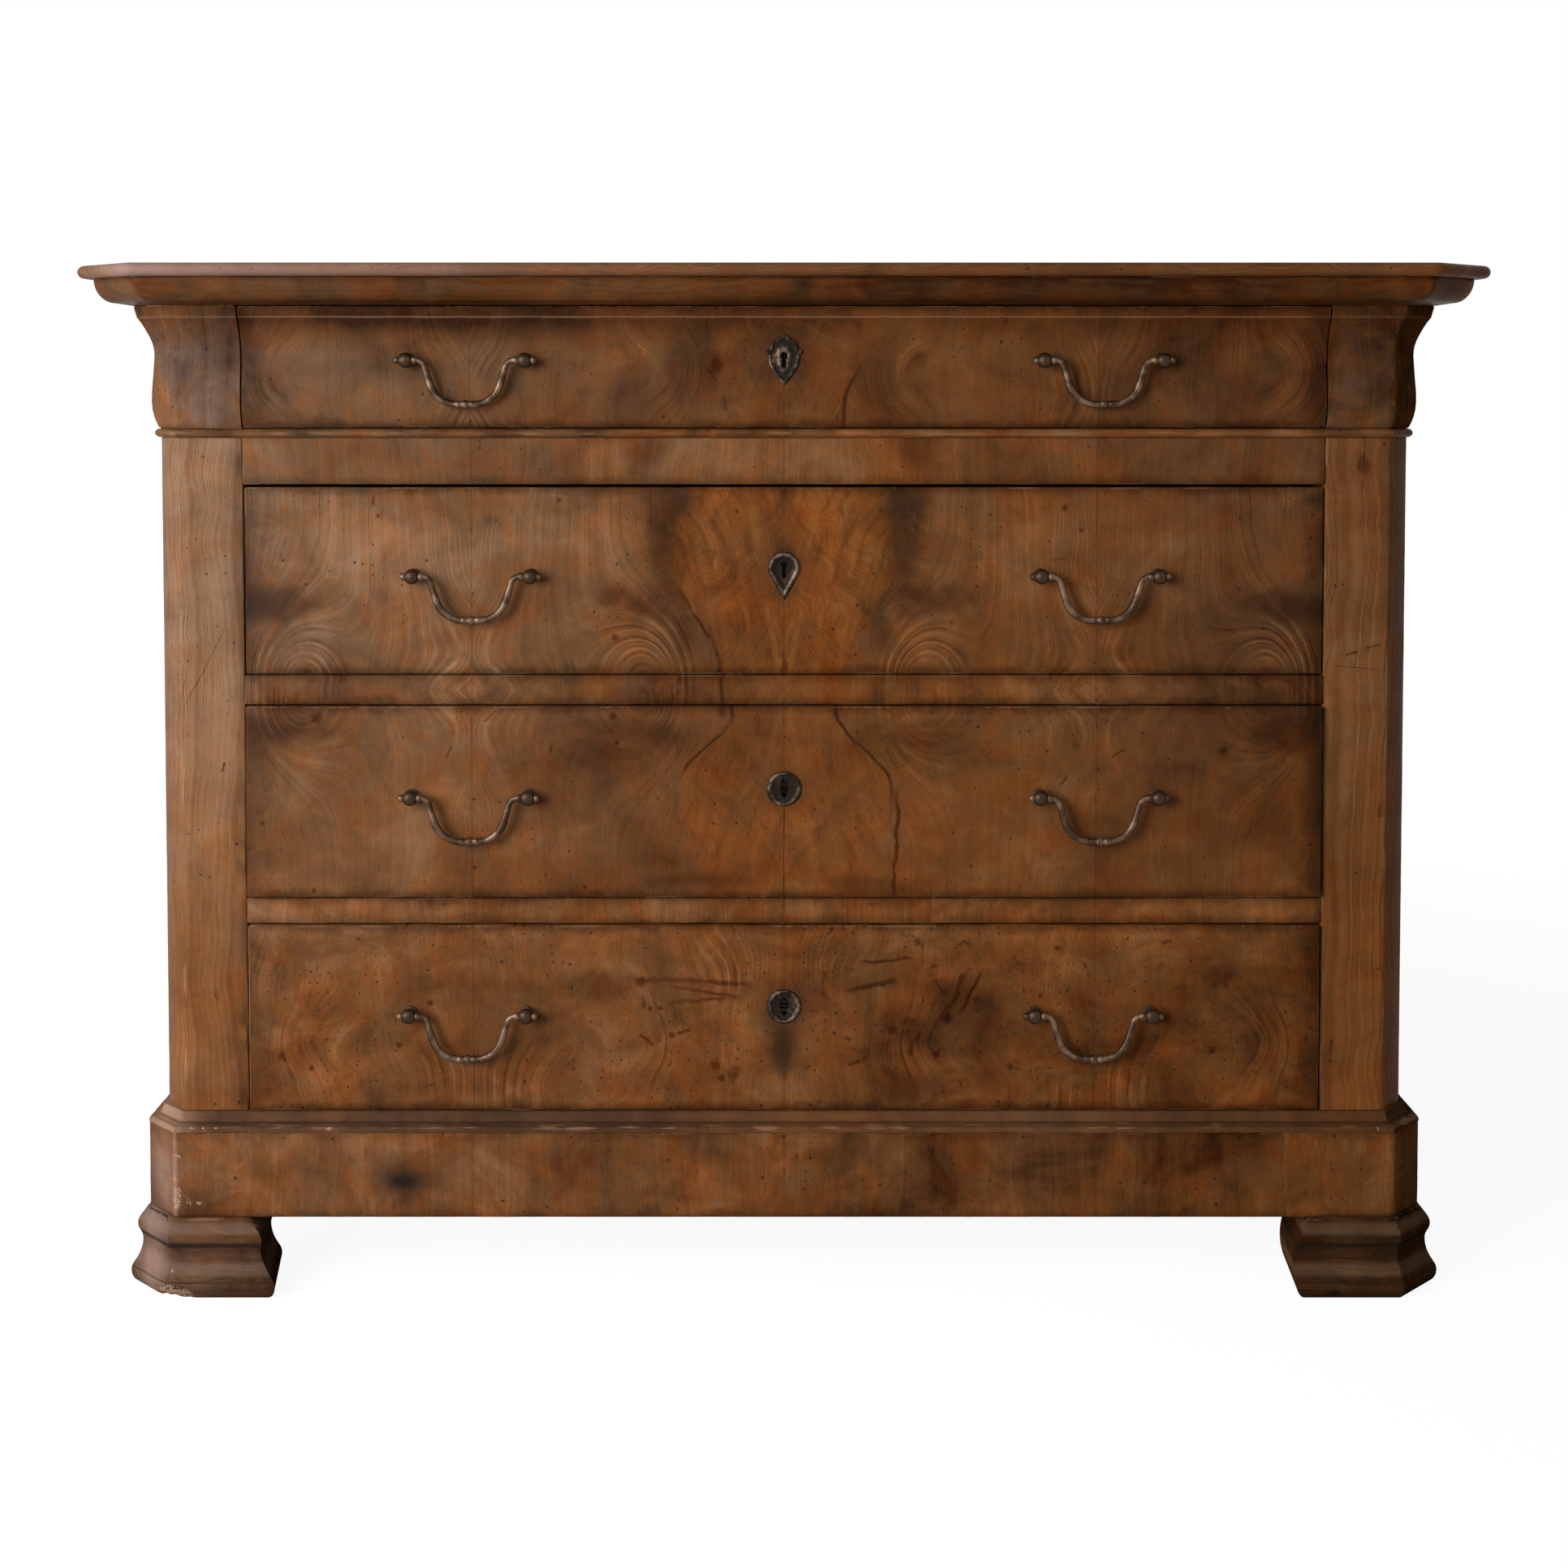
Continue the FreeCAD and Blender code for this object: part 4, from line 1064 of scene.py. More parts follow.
# The moulding on the plinth: the lip's share of its height, the places round the lip's
# upper corner as (inward, down) from it, the fillet's reach and height, and the hollow's
# depth as a share of its width, with the number of its lengths
LIP_SHARE = 0.33
LIP_CORNER = ((0.0, 0.0025), (0.0006, 0.0008), (0.002, 0.0))
FILLET_REACH = 0.0045
FILLET_HEIGHT = 0.002
HOLLOW_SHARE = 0.25
HOLLOW_STEPS = 9


def hollow_profile(low, high, reach):
    """Profile of the moulding on the plinth: a lip, a hollow and a fillet."""
    lip_top = low + (high - low) * LIP_SHARE
    lip = [(reach - inward, lip_top - down) for inward, down in LIP_CORNER]
    start = Vector(lip[-1])
    end = Vector((FILLET_REACH, high - FILLET_HEIGHT))
    sag = (start.x - end.x) * HOLLOW_SHARE
    hollow = []
    for i in range(1, HOLLOW_STEPS):
        share = i / HOLLOW_STEPS
        dip = 4 * share * (1 - share) * sag
        hollow.append(start.lerp(end, share) - Vector((dip / 2, dip)))
    return [(0.0, low), (reach, low), *lip, *map(tuple, hollow), tuple(end), (end.x, high),
            (0.0, high)]


class CHEST_OT_base(bpy.types.Operator):
    """Plinth, the worn moulding along its top, and the feet"""
    bl_idname = "chest.base"
    bl_label = "Base"

    def execute(self, context):
        self.make_plinth()
        self.make_moulding()
        self.make_feet()
        return {"FINISHED"}

    def make_plinth(self):
        nodes = ("plinth_front", "plinth_returns")
        knot_and_cracks = (((-0.3520, 0.1055), 0.022, -10, 0.0020),
                           ((0.3560, 0.1080), 0.030, 62, 0.0007),
                           ((-0.2620, 0.0880), 0.004, 0, 0.0016))
        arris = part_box("plinth_front")[0]
        plinth = walnut(
            "plinth walnut", leaves=True, tone=0.44, fine=0.25, pins=0.14, warp=0.04, rub=0.15,
            shine=0.0, tint=(1.05, 1.12, 1.30), border=corners(*nodes), dirt_and_shade=0.40,
            smoke=((0.06, 0.14, 0.05, 0.02, 0.4),),
            pale=((-0.19, 0.10, 0.05, 0.05, -0.1), (-0.45, 0.09, 0.12, 0.05, -0.08)),
            # Besides the knot, the stains are painted: sheen on the left cant, shade on the right cant,
            # and a pale line down the left arris that is rubbed wood with a painted highlight.
            stains=((-0.356, 0.1070, 0.036, 0.020, 0.55), (-0.355, 0.1065, 0.016, 0.008, 1.1),
                    (-0.585, 0.11, 0.016, 0.04, -0.60), (0.588, 0.11, 0.018, 0.08, 0.30),
                    (arris.x + 0.0005, 0.11, 0.0020, 0.07, -0.55)),
            marks=knot_and_cracks, seed=23.0)
        chips = [(Vector((arris.x + x, arris.y, z)), radius, CHIP_DEPTH) for x, z, radius in (
            (0.001, 0.096, 0.007), (0.001, 0.086, 0.008), (0.000, 0.108, 0.005),
            (0.012, 0.0875, 0.004), (0.024, 0.0865, 0.004), (0.001, 0.130, 0.005))]
        bm = worn_copy(nodes, edge=0.0016, spacing=0.0045, dents=1.4, chips=chips)
        finish_piece("plinth_worn", bm, plinth, "carcass", "walnut_carcass", *nodes)

    def make_moulding(self):
        low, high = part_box("plinth_mouldings")
        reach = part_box("stile_left")[0].x - low.x
        crest = low.z + 0.0045
        bm = moulding(hollow_profile(low.z, high.z, reach), carcass_plan("plinth_mouldings"),
                      0.004, crest)
        chipped = bm.loops.layers.float["chipped"]
        for x, radius in ((-0.5700, 0.0035), (-0.5610, 0.003), (-0.5510, 0.0035), (-0.5400, 0.003),
                          (-0.5300, 0.0028), (-0.4235, 0.0045), (0.5518, 0.0035)):
            knock(bm, chipped, Vector((x, low.y, crest)), radius, CHIP_DEPTH)
        wood = walnut(
            "plinth moulding walnut", "yz", "x", tone=0.10, grey=1.0, fine=0.9, cloud=0.7,
            gloss=0.5, shine=0.0, rub=0.5, orange=0.2,
            # The dark band just above the lip is painted shade in the crease. The pale stains are
            # painted sheen along the whole moulding, strongest as a whitish highlight at the left
            # corner.
            grooves=((low.z + 0.0068, 0.0014, 0.7),),
            stains=((0.4, -0.580, EVERYWHERE, 0.022, -1.00),
                    (0.4, 0.0, EVERYWHERE, EVERYWHERE, -0.13),
                    (0.4, 0.25, EVERYWHERE, 0.12, -0.10)), seed=29.0)
        finish_piece("plinth_mouldings_worn", bm, wood, "carcass", "walnut_carcass",
                     "plinth_mouldings")

    def make_feet(self):
        # The grey tint, the pale stains on the left foot and the bands with amounts below 0 are painted
        # sheen from the light at the left; the darker stain on the right foot and the bands above 0 are
        # painted shade in the neck, the hollow and low down.
        feet = walnut(
            "foot walnut", "yz", "x", tone=0.04, grey=1.0, cloud=0.9, rings=1.0, fine=1.0,
            gloss=0.55, shine=0.0, rub=0.45, orange=0.3, pins=0.1, tint=(1.0, 1.16, 1.42),
            stains=((0.28, -0.55, EVERYWHERE, 0.05, -0.06), (0.28, -0.590, EVERYWHERE, 0.015, -0.50),
                    (0.28, 0.56, EVERYWHERE, 0.06, 0.3)),
            grooves=((0.0486, 0.0040, 1.0), (0.0165, 0.0014, 0.7), (0.0420, 0.0080, 0.35),
                     (0.0640, 0.0065, -0.24), (0.0270, 0.0080, -0.22), (0.0090, 0.0060, 0.22)),
            seed=31.0)
        broken_corner = ((-0.5710, -0.2560, 0.006), 0.015, 0.0045)
        chips = (broken_corner,
                 ((-0.5560, -0.2590, 0.004), 0.009, 0.002), ((-0.5690, -0.2520, 0.024), 0.006, 0.001),
                 ((0.5060, -0.2480, 0.0474), 0.004, 0.001), ((0.4930, -0.2460, 0.030), 0.004, 0.0008),
                 ((-0.5640, -0.2480, 0.062), 0.006, 0.001))
        bm = worn_copy(["front_feet"], edge=0.0022, spacing=0.0045, dents=1.2, chips=chips)
        self.spread_inner_sides(bm)
        finish_piece("front_feet_worn", bm, feet, "carcass", "walnut_feet", "front_feet")

    def spread_inner_sides(self, bm):
        """The inner side of each foot swells towards the floor and the front."""
        low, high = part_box("front_feet")
        for vert in bm.verts:
            place = vert.co
            forward = (high.y - place.y) / (high.y - low.y)
            if place.x > 0.0:
                forward = 0.5 + 0.5 * forward
            inward = min(1.0, max(0.0, (SWELL_START - abs(place.x)) / SWELL_RUN))
            fall = 1.0 - (place.z / high.z) ** 2
            place.x -= math.copysign(FOOT_SWELL * forward * inward * fall, place.x)


# Half the distance between a handle's posts, half the thickness of a bail at its top, and
# how far the bails' axis stands in front of the drawer's face
HANDLE_HALF = 0.0545
BAIL_HALF = 0.0028
AXIS_OFF_FACE = 0.012


def bail_axes(name):
    """The middle of each bail's axis, at the left and at the right of a drawer: (x, y, z)."""
    axes = []
    for side in SIDES:
        low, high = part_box(name + "_handle_" + side)
        axes.append(((low.x + high.x) / 2, (low.y + high.y) / 2, high.z - BAIL_HALF))
    return axes


def fitting_lines(name):
    """Where the posts and the keyhole go through a drawer front, from left to right."""
    posts = [axis[0] + half for axis in bail_axes(name) for half in (-HANDLE_HALF, HANDLE_HALF)]
    return sorted([*posts, 0.0])


def first_figure():
    """Faint swirls beside the middle, darker under the top, where smoky figure lies with painted shade
    in the hollow under the fillet, and a painted highlight along the fillet's edge.
    """
    return dict(
        swirls=((0.100, 0.86, 0.04, 0.05, 0.04, 0.0), (0.29, 0.84, 0.05, 0.05, -0.03, 0.0)),
        crotch=dict(edge=(0.055, (0.02, 0.83, 0.88), (0.0, 0.0, 1.0)), strength=0.25,
                    rim=0.86),
        # The pale band at the fillet's lower edge is a painted highlight.
        grooves=((0.9092, 0.0012, -0.40),), cloud=0.7, rings=0.5,
        stains=((0.0, 0.8725, 0.026, 0.026, 0.35),),
        smoke=((0.085, 0.865, 0.03, 0.05, 0.6), (0.255, 0.90, 0.05, 0.02, 0.3)),
        # The two narrow darker bands high on the front are painted shade in the hollow under the fillet.
        pale=((-0.35, 0.908, 0.25, 0.012, -0.22), (0.0, 0.905, 0.6, 0.010, -0.12),
              (-0.42, 0.868, 0.16, 0.020, -0.08),
              (0.35, 0.86, 0.25, 0.10, -0.06)),
        tone=0.36, pins=0.08, seed=37.0)


def second_figure():
    """A flame in the middle, with dark smoke at its edges and at the outer ends."""
    return dict(
        swirls=MIRRORED_SWIRLS, mirror_z=middle_of("rail_middle").z, fine=0.9,
        crotch=dict(edge=(0.060, (0.045, 0.02, 0.12), (0.012, 0.14, 0.18)),
                    strength=0.68, rim=0.09),
        smoke=((0.104, 0.7350, 0.028, 0.030, 0.9), (0.128, 0.6450, 0.050, 0.022, 0.9),
               (0.108, 0.6900, 0.024, 0.040, 0.8), (0.086, 0.6220, 0.014, 0.030, 0.6),
               (0.475, 0.6420, 0.052, 0.022, 0.9), (0.515, 0.6500, 0.020, 0.090, 0.9)),
        cloud=0.75, rings=1.05,
        spots=((-0.1565, 0.6123, 0.0032), (-0.3766, 0.7256, 0.0020), (-0.2088, 0.7405, 0.0020),
               (0.2600, 0.7330, 0.0030), (0.2760, 0.7120, 0.0022)),
        pale=((-0.40, 0.68, 0.14, 0.09, 0.20), (-0.21, 0.69, 0.10, 0.10, 0.10),
              (-0.13, 0.59, 0.05, 0.05, 0.05), (0.0, 0.72, 0.08, 0.06, -0.12),
              (0.35, 0.70, 0.14, 0.06, 0.06), (0.50, 0.66, 0.06, 0.10, 0.16)),
        stains=((-0.375, 0.651, 0.011, 0.013, 0.50), (-0.273, 0.722, 0.007, 0.006, 0.45),
                # The near-black stain in the middle of the drop's opening is painted shade in the
                # keyhole; the wider stain round it is soiling.
                (0.0, 0.6810, 0.030, 0.034, 0.42), (0.0, 0.6790, 0.0085, 0.012, 2.0),
                (-0.520, 0.66, 0.026, 0.12, 0.42), (0.0, 0.74, 0.006, 0.02, 0.5),
                (0.114, 0.7400, 0.020, 0.020, 0.40), (0.118, 0.6850, 0.022, 0.030, 0.35),
                (0.085, 0.6250, 0.012, 0.030, 0.35), (-0.092, 0.7420, 0.012, 0.012, 0.40),
                (-0.507, 0.6400, 0.032, 0.024, 0.30), (0.442, 0.6420, 0.045, 0.018, 0.30)),
        marks=(((0.2553, 0.6848), 0.012, 12, 0.0016), ((-0.3806, 0.7398), 0.010, 88, 0.0018)),
        tone=0.50, pins=0.10)


def third_figure():
    """Mirrors the second across the middle rail, with a long dark vein."""
    return dict(
        swirls=MIRRORED_SWIRLS, mirror_z=middle_of("rail_middle").z,
        crotch=dict(edge=(0.048, (0.052, 0.02, 0.09), (0.030, 0.11, 0.16)),
                    strength=0.40, rim=0.10),
        # The near-black stain at the keyhole is painted shade in it; the wider one round it is soiling.
        stains=((0.0, 0.4755, 0.024, 0.024, 0.45), (0.0, 0.4745, 0.006, 0.008, 2.0),
                (-0.530, 0.46, 0.012, 0.10, 0.3)),
        smoke=((0.124, 0.5235, 0.055, 0.016, 0.5), (0.150, 0.5035, 0.040, 0.030, 0.4),
               (0.080, 0.3805, 0.050, 0.012, 0.7), (0.460, 0.5250, 0.045, 0.022, 0.8)),
        cloud=0.75, rings=0.6,
        spots=((-0.4330, 0.5375, 0.0055), (-0.1590, 0.5400, 0.0034), (-0.1550, 0.5150, 0.0026),
               (-0.4850, 0.4398, 0.0020), (-0.4380, 0.3768, 0.0024), (-0.1850, 0.3795, 0.0020),
               (0.4080, 0.5076, 0.0040)),
        pale=((-0.38, 0.46, 0.14, 0.10, 0.12), (-0.22, 0.50, 0.05, 0.06, -0.05),
              (0.40, 0.46, 0.20, 0.10, -0.05)),
        tone=0.475, pins=0.12,
        marks=(((0.0, 0.42), 0.095, 90, 0.0008), ((0.104, 0.4200), 0.110, 88, 0.0030),
               ((-0.3117, 0.5067), 0.014, 60, 0.0013),
               ((-0.2732, 0.5400), 0.016, 45, 0.0011), ((-0.2170, 0.5095), 0.008, 70, 0.0015),
               ((0.3100, 0.5050), 0.016, 30, 0.0011), ((0.2600, 0.4800), 0.012, 50, 0.0012)))


def fourth_figure():
    """Burl with many holes, spots and short veins."""
    return dict(
        swirls=((0.140, 0.235, 0.045, 0.045, 0.03, 0.0), (0.050, 0.300, 0.040, 0.030, 0.012, 0.0),
                (0.250, 0.190, 0.040, 0.040, -0.02, 0.0)),
        burl=0.03, rings=0.65,
        smoke=((0.0, 0.222, 0.018, 0.045, 0.8), (0.165, 0.285, 0.045, 0.020, 0.7),
               (0.130, 0.190, 0.040, 0.020, 0.5)),
        pale=((-0.40, 0.24, 0.14, 0.10, 0.04), (-0.10, 0.24, 0.08, 0.06, 0.12),
              (0.14, 0.26, 0.09, 0.10, -0.28), (0.42, 0.26, 0.12, 0.12, -0.24)),
        # The near-black stain at the keyhole is painted shade in it; the wider one round it is soiling.
        stains=((0.0, 0.2700, 0.028, 0.026, 0.75), (0.0, 0.2690, 0.006, 0.008, 2.0),
                (-0.530, 0.25, 0.012, 0.10, 0.3), (0.0, 0.226, 0.013, 0.026, 0.60),
                (0.090, 0.2900, 0.035, 0.012, 0.40), (0.190, 0.2300, 0.030, 0.050, 0.30),
                (0.060, 0.3150, 0.060, 0.012, 0.25)),
        pins=0.24, tone=0.52, cloud=1.1, seed=41.0,
        spots=((-0.4700, 0.2200, 0.0034), (-0.4420, 0.2080, 0.0028), (-0.1340, 0.2900, 0.0044),
               (-0.1250, 0.2650, 0.0024), (-0.1150, 0.2650, 0.0022), (-0.1053, 0.2400, 0.0030),
               (-0.0640, 0.2110, 0.0050), (-0.0580, 0.1990, 0.0032), (0.1012, 0.2446, 0.0044),
               (0.1417, 0.2220, 0.0030), (0.1523, 0.2548, 0.0052), (0.1245, 0.3278, 0.0040),
               (0.2120, 0.2100, 0.0030), (0.4000, 0.2250, 0.0030), (-0.3300, 0.2700, 0.0030),
               (-0.3600, 0.2300, 0.0026)),
        marks=(((-0.082, 0.2900), 0.110, -3, 0.0034), ((-0.075, 0.2800), 0.070, -8, 0.0026),
               ((-0.082, 0.2715), 0.060, 4, 0.0030), ((-0.128, 0.2350), 0.018, -35, 0.0026),
               ((-0.0935, 0.2435), 0.014, 10, 0.0024), ((0.0661, 0.2131), 0.014, 20, 0.0030),
               ((0.1216, 0.2310), 0.026, 62, 0.0040), ((0.1600, 0.2760), 0.052, 68, 0.0032),
               ((0.1746, 0.2800), 0.050, 64, 0.0024), ((0.0960, 0.3105), 0.050, 2, 0.0022),
               ((0.0820, 0.2870), 0.050, 6, 0.0036)))


FIGURES = (first_figure, second_figure, third_figure, fourth_figure)


class CHEST_OT_drawer_fronts(bpy.types.Operator):
    """Veneered drawer fronts, each with its own figure"""
    bl_idname = "chest.drawer_fronts"
    bl_label = "Drawer fronts"

    def execute(self, context):
        for name, figure in zip(DRAWERS, FIGURES):
            node = name + "_front"
            veneer = walnut(name + " veneer", leaves=True, border=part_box(node), dirt_and_shade=0.65,
                            rub=0.35, orange=0.65, **figure())
            worn_piece(node, veneer, name, "walnut_drawer_front", edge=0.0011,
                       keep={0: fitting_lines(name)})
        return {"FINISHED"}


class CHEST_OT_drawer_boxes(bpy.types.Operator):
    """Sides, backs and bottoms of the drawers"""
    bl_idname = "chest.drawer_boxes"
    bl_label = "Drawer boxes"

    def execute(self, context):
        sides = bare_wood("drawer side wood", "y")
        backs = bare_wood("drawer back wood", "x", (0.9, 0.88, 0.85))
        bottoms = bare_wood("drawer bottom wood", "x", (0.95, 0.95, 0.92))
        for name in DRAWERS:
            worn_piece(name + "_sides", sides, name, "secondary_wood", edge=0.0008)
            worn_piece(name + "_back", backs, name, "secondary_wood", edge=0.0008)
            paint(name + "_bottom", bottoms)
        return {"FINISHED"}


# A half bail's end, shoulder and lower corner: (from its middle, above its axis), and the
# radius of each bend on the way across. Beads are (from the middle, radius).
BAIL_CORNERS = ((0.0655, 0.0), (0.0388, 0.0), (0.0266, -0.0405))
BAIL_BENDS = (0.008, 0.026, 0.026, 0.008)
BAIL_STEP = 0.0006
BEND_STEP = 0.0015
PIVOT_START = 0.0478
PIVOT_RADIUS = 0.0020
TIP_RADIUS = 0.0008
BAIL_BEADS = ((0.0, 0.0043), (0.0068, 0.0037), (0.0112, 0.0034), (0.0462, 0.0040),
              (0.0622, 0.0036))

# Beads further out than OUTER_BEADS sit beside the posts. The others sit on the bar that
# lies more than LOW_BAR below the axis.
OUTER_BEADS = 0.04
LOW_BAR = 0.03

# How much a bail's arms swell, how far below the axis, and how gently
ARM_SWELL = 0.0008
ARM_MIDDLE = 0.026
ARM_SPREAD = 0.013


def bail_path(middle, y, z):
    """Places along a bail: out of the left post, down, across, and up to the right one."""
    spots = [Vector((middle - x, y, z + drop)) for x, drop in BAIL_CORNERS]
    spots += [Vector((middle + x, y, z + drop)) for x, drop in reversed(BAIL_CORNERS)]
    path = [spots[0]]
    for before, corner, after, radius in zip(spots, spots[1:], spots[2:], BAIL_BENDS):
        into = (corner - before).normalized()
        out = (after - corner).normalized()
        turn = into.angle(out)
        start = corner - into * radius * math.tan(turn / 2)
        end = corner + out * radius * math.tan(turn / 2)
        reach = radius * math.tan(turn / 4) * 4 / 3
        steps = max(2, round((start - path[-1]).length / BAIL_STEP))
        path += [path[-1].lerp(start, i / steps) for i in range(1, steps)]
        path += interpolate_bezier(start, start + into * reach, end - out * reach, end,
                                   max(8, round(radius / BEND_STEP)))
    steps = round((spots[-1] - path[-1]).length / BAIL_STEP)
    start = path[-1]
    return path + [start.lerp(spots[-1], i / steps) for i in range(1, steps + 1)]


def bail_radius(off, drop):
    """Half thickness of a bail at a distance from its middle and below its axis. It is thin
    in the posts, swells in its arms, and carries beads."""
    thick = PIVOT_RADIUS
    if off <= PIVOT_START:
        thick = BAIL_HALF + ARM_SWELL * math.exp(-((drop - ARM_MIDDLE) / ARM_SPREAD) ** 2)
    for spot, radius in BAIL_BEADS:
        same_part = drop > LOW_BAR or spot > OUTER_BEADS
        if abs(off - spot) < radius and same_part:
            thick = max(thick, math.sqrt(radius ** 2 - (off - spot) ** 2))
    return thick


def bail(middle, y, z):
    """A bail that hangs from its axis, with the uneven skin of a casting."""
    path = bail_path(middle, y, z)
    stations = []
    for before, spot, after in zip(path[:1] + path, path, path[1:] + path[-1:]):
        radius = bail_radius(abs(spot.x - middle), z - spot.z)
        if spot in (path[0], path[-1]):
            radius = TIP_RADIUS
        stations.append((spot, (after - before).normalized(), radius))
    bm = rod(stations)
    for vert in bm.verts:
        vert.co += vert.normal * noise.noise(vert.co * 260.0) * 0.00012
    return bm


# Of a post with its ball in front: (radius, distance along Y from the drawer's face)
POST_PROFILE = ((0.0, 0.003), (0.0068, 0.003), (0.0068, -0.0008), (0.0061, -0.0016),
                (0.0046, -0.0020), (0.0036, -0.0030), (0.0033, -0.0042), (0.0038, -0.0052),
                (0.0050, -0.0058), (0.0053, -0.0064), (0.0048, -0.0070), (0.0054, -0.0078),
                (0.0065, -0.0090), (0.0071, -0.0106), (0.0072, -0.0122), (0.0068, -0.0142),
                (0.0058, -0.0159), (0.0043, -0.0172), (0.0024, -0.0180), (0.0, -0.0183))
STEM_RADIUS = 0.0025
STEM_START = -0.002
STEM_CHAMFER = 0.0006
NUT_SIZE = (0.012, 0.004, 0.012)
NUT_CHAMFER = 0.0007


def post_and_nut(x, face_y, z, back, end):
    """A turned post with a ball, its stem through the front, and the nut behind."""
    face = Vector((x, face_y, z))
    length = end - face_y
    post = lathe(POST_PROFILE, face)
    stem = lathe(((0.0, STEM_START), (STEM_RADIUS, STEM_START),
                  (STEM_RADIUS, length - STEM_CHAMFER), (STEM_RADIUS - STEM_CHAMFER, length),
                  (0.0, length)), face)
    nut = bmesh.new()
    nut.loops.layers.float.new("rubbed")
    middle = (x, back + NUT_SIZE[1] / 2, z)
    bmesh.ops.create_cube(nut, size=1.0,
                          matrix=Matrix.Translation(middle) @ Matrix.Diagonal((*NUT_SIZE, 1.0)))
    bmesh.ops.bevel(nut, geom=nut.edges[:], offset=NUT_CHAMFER, segments=2, profile=0.5,
                    affect="EDGES", material=-1)
    return [post, stem, nut]


PLATE_STEPS = 96
CLEAR_OF_PLATE = 0.030


def polar(radius_at):
    """An outline round the key's place, from how far it is in each direction from below."""
    spots = []
    for i in range(PLATE_STEPS):
        turn = 2 * math.pi * i / PLATE_STEPS
        down = min(turn, 2 * math.pi - turn)
        radius = radius_at(down)
        spots.append((math.sin(turn) * radius, -math.cos(turn) * radius))
    return spots


# The shield's outline: (degrees round from straight below, millimetres from the key's place)
SHIELD = ((0, 23.4), (9, 20.4), (20, 17.6), (38, 15.3), (62, 14.4), (90, 14.5), (106, 15.0),
          (110, 18.0), (115, 19.4), (120, 18.0), (125, 16.4), (134, 17.8), (146, 19.8),
          (153, 20.3), (160, 19.2), (166, 21.0), (172, 22.8), (180, 23.4))


def shield_radius(down):
    """How far the shield's outline is from the key's place, eased from place to place."""
    degrees = math.degrees(down)
    for (first, low), (last, high) in zip(SHIELD, SHIELD[1:]):
        if degrees <= last:
            share = (degrees - first) / (last - first)
            return (low + (high - low) * share * share * (3 - 2 * share)) * MM
    return SHIELD[-1][1] * MM


def drop_radius(radius, length):
    """A circle that runs out to a point below, at a length from its middle."""
    slant = math.acos(radius / length)
    return lambda down: radius / math.cos(slant - down) if down < slant else radius


def keyhole_radius(down):
    """A round hole with a slot below it, seen from the middle of the whole."""
    head, half_slot, rise, foot = 0.0031, 0.0018, 0.00325, 0.0065
    straight_down = min(half_slot / max(1e-6, math.sin(down)), foot / max(1e-6, math.cos(down)))
    if math.cos(down) <= 0:
        straight_down = half_slot / max(1e-6, math.sin(down))
    side = rise * math.sin(down)
    round_head = math.sqrt(head ** 2 - side ** 2) - rise * math.cos(down) if side < head else 0.0
    return max(round_head, straight_down if math.cos(down) > -0.2 else 0.0)


def wood_face(node):
    """Gives a function for how far forward a drawer's face is at a height, beside its plate."""
    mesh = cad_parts[node].data
    tree = BVHTree.FromPolygons([v.co for v in mesh.vertices], [p.vertices for p in mesh.polygons])
    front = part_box(node)[0].y

    def face(z):
        hit = tree.ray_cast(Vector((CLEAR_OF_PLATE, front - 0.1, z)), Vector((0, 1, 0)))
        return hit[0].y
    return face


# How far each line round a plate lies inwards to the hole, as a share, and off the wood
SHIELD_LAYERS = ((0.0, -0.0005), (0.0, 0.0011), (0.05, 0.0019), (0.14, 0.0022), (0.24, 0.0014),
                 (0.42, 0.0011), (0.58, 0.0014), (0.72, 0.0022), (0.86, 0.0023), (0.96, 0.0018),
                 (1.0, 0.0012), (1.0, -0.0005))
DROP_LAYERS = ((0.0, -0.0005), (0.0, 0.0010), (0.14, 0.0019), (0.36, 0.0023), (0.56, 0.0019),
               (0.72, 0.0009), (1.0, 0.0006), (1.0, -0.0005))
DISC_LAYERS = ((0.0, -0.0005), (0.0, 0.0008), (0.08, 0.0017), (0.19, 0.0021), (0.30, 0.0016),
               (0.38, 0.0008), (0.60, 0.0005), (0.85, 0.0005), (1.0, 0.0003), (1.0, -0.0005))

# The drop's outline and its opening: (radius, length from its middle to its point)
DROP_OUTLINE = (0.0147, 0.0298)
DROP_OPENING = (0.0078, 0.0165)


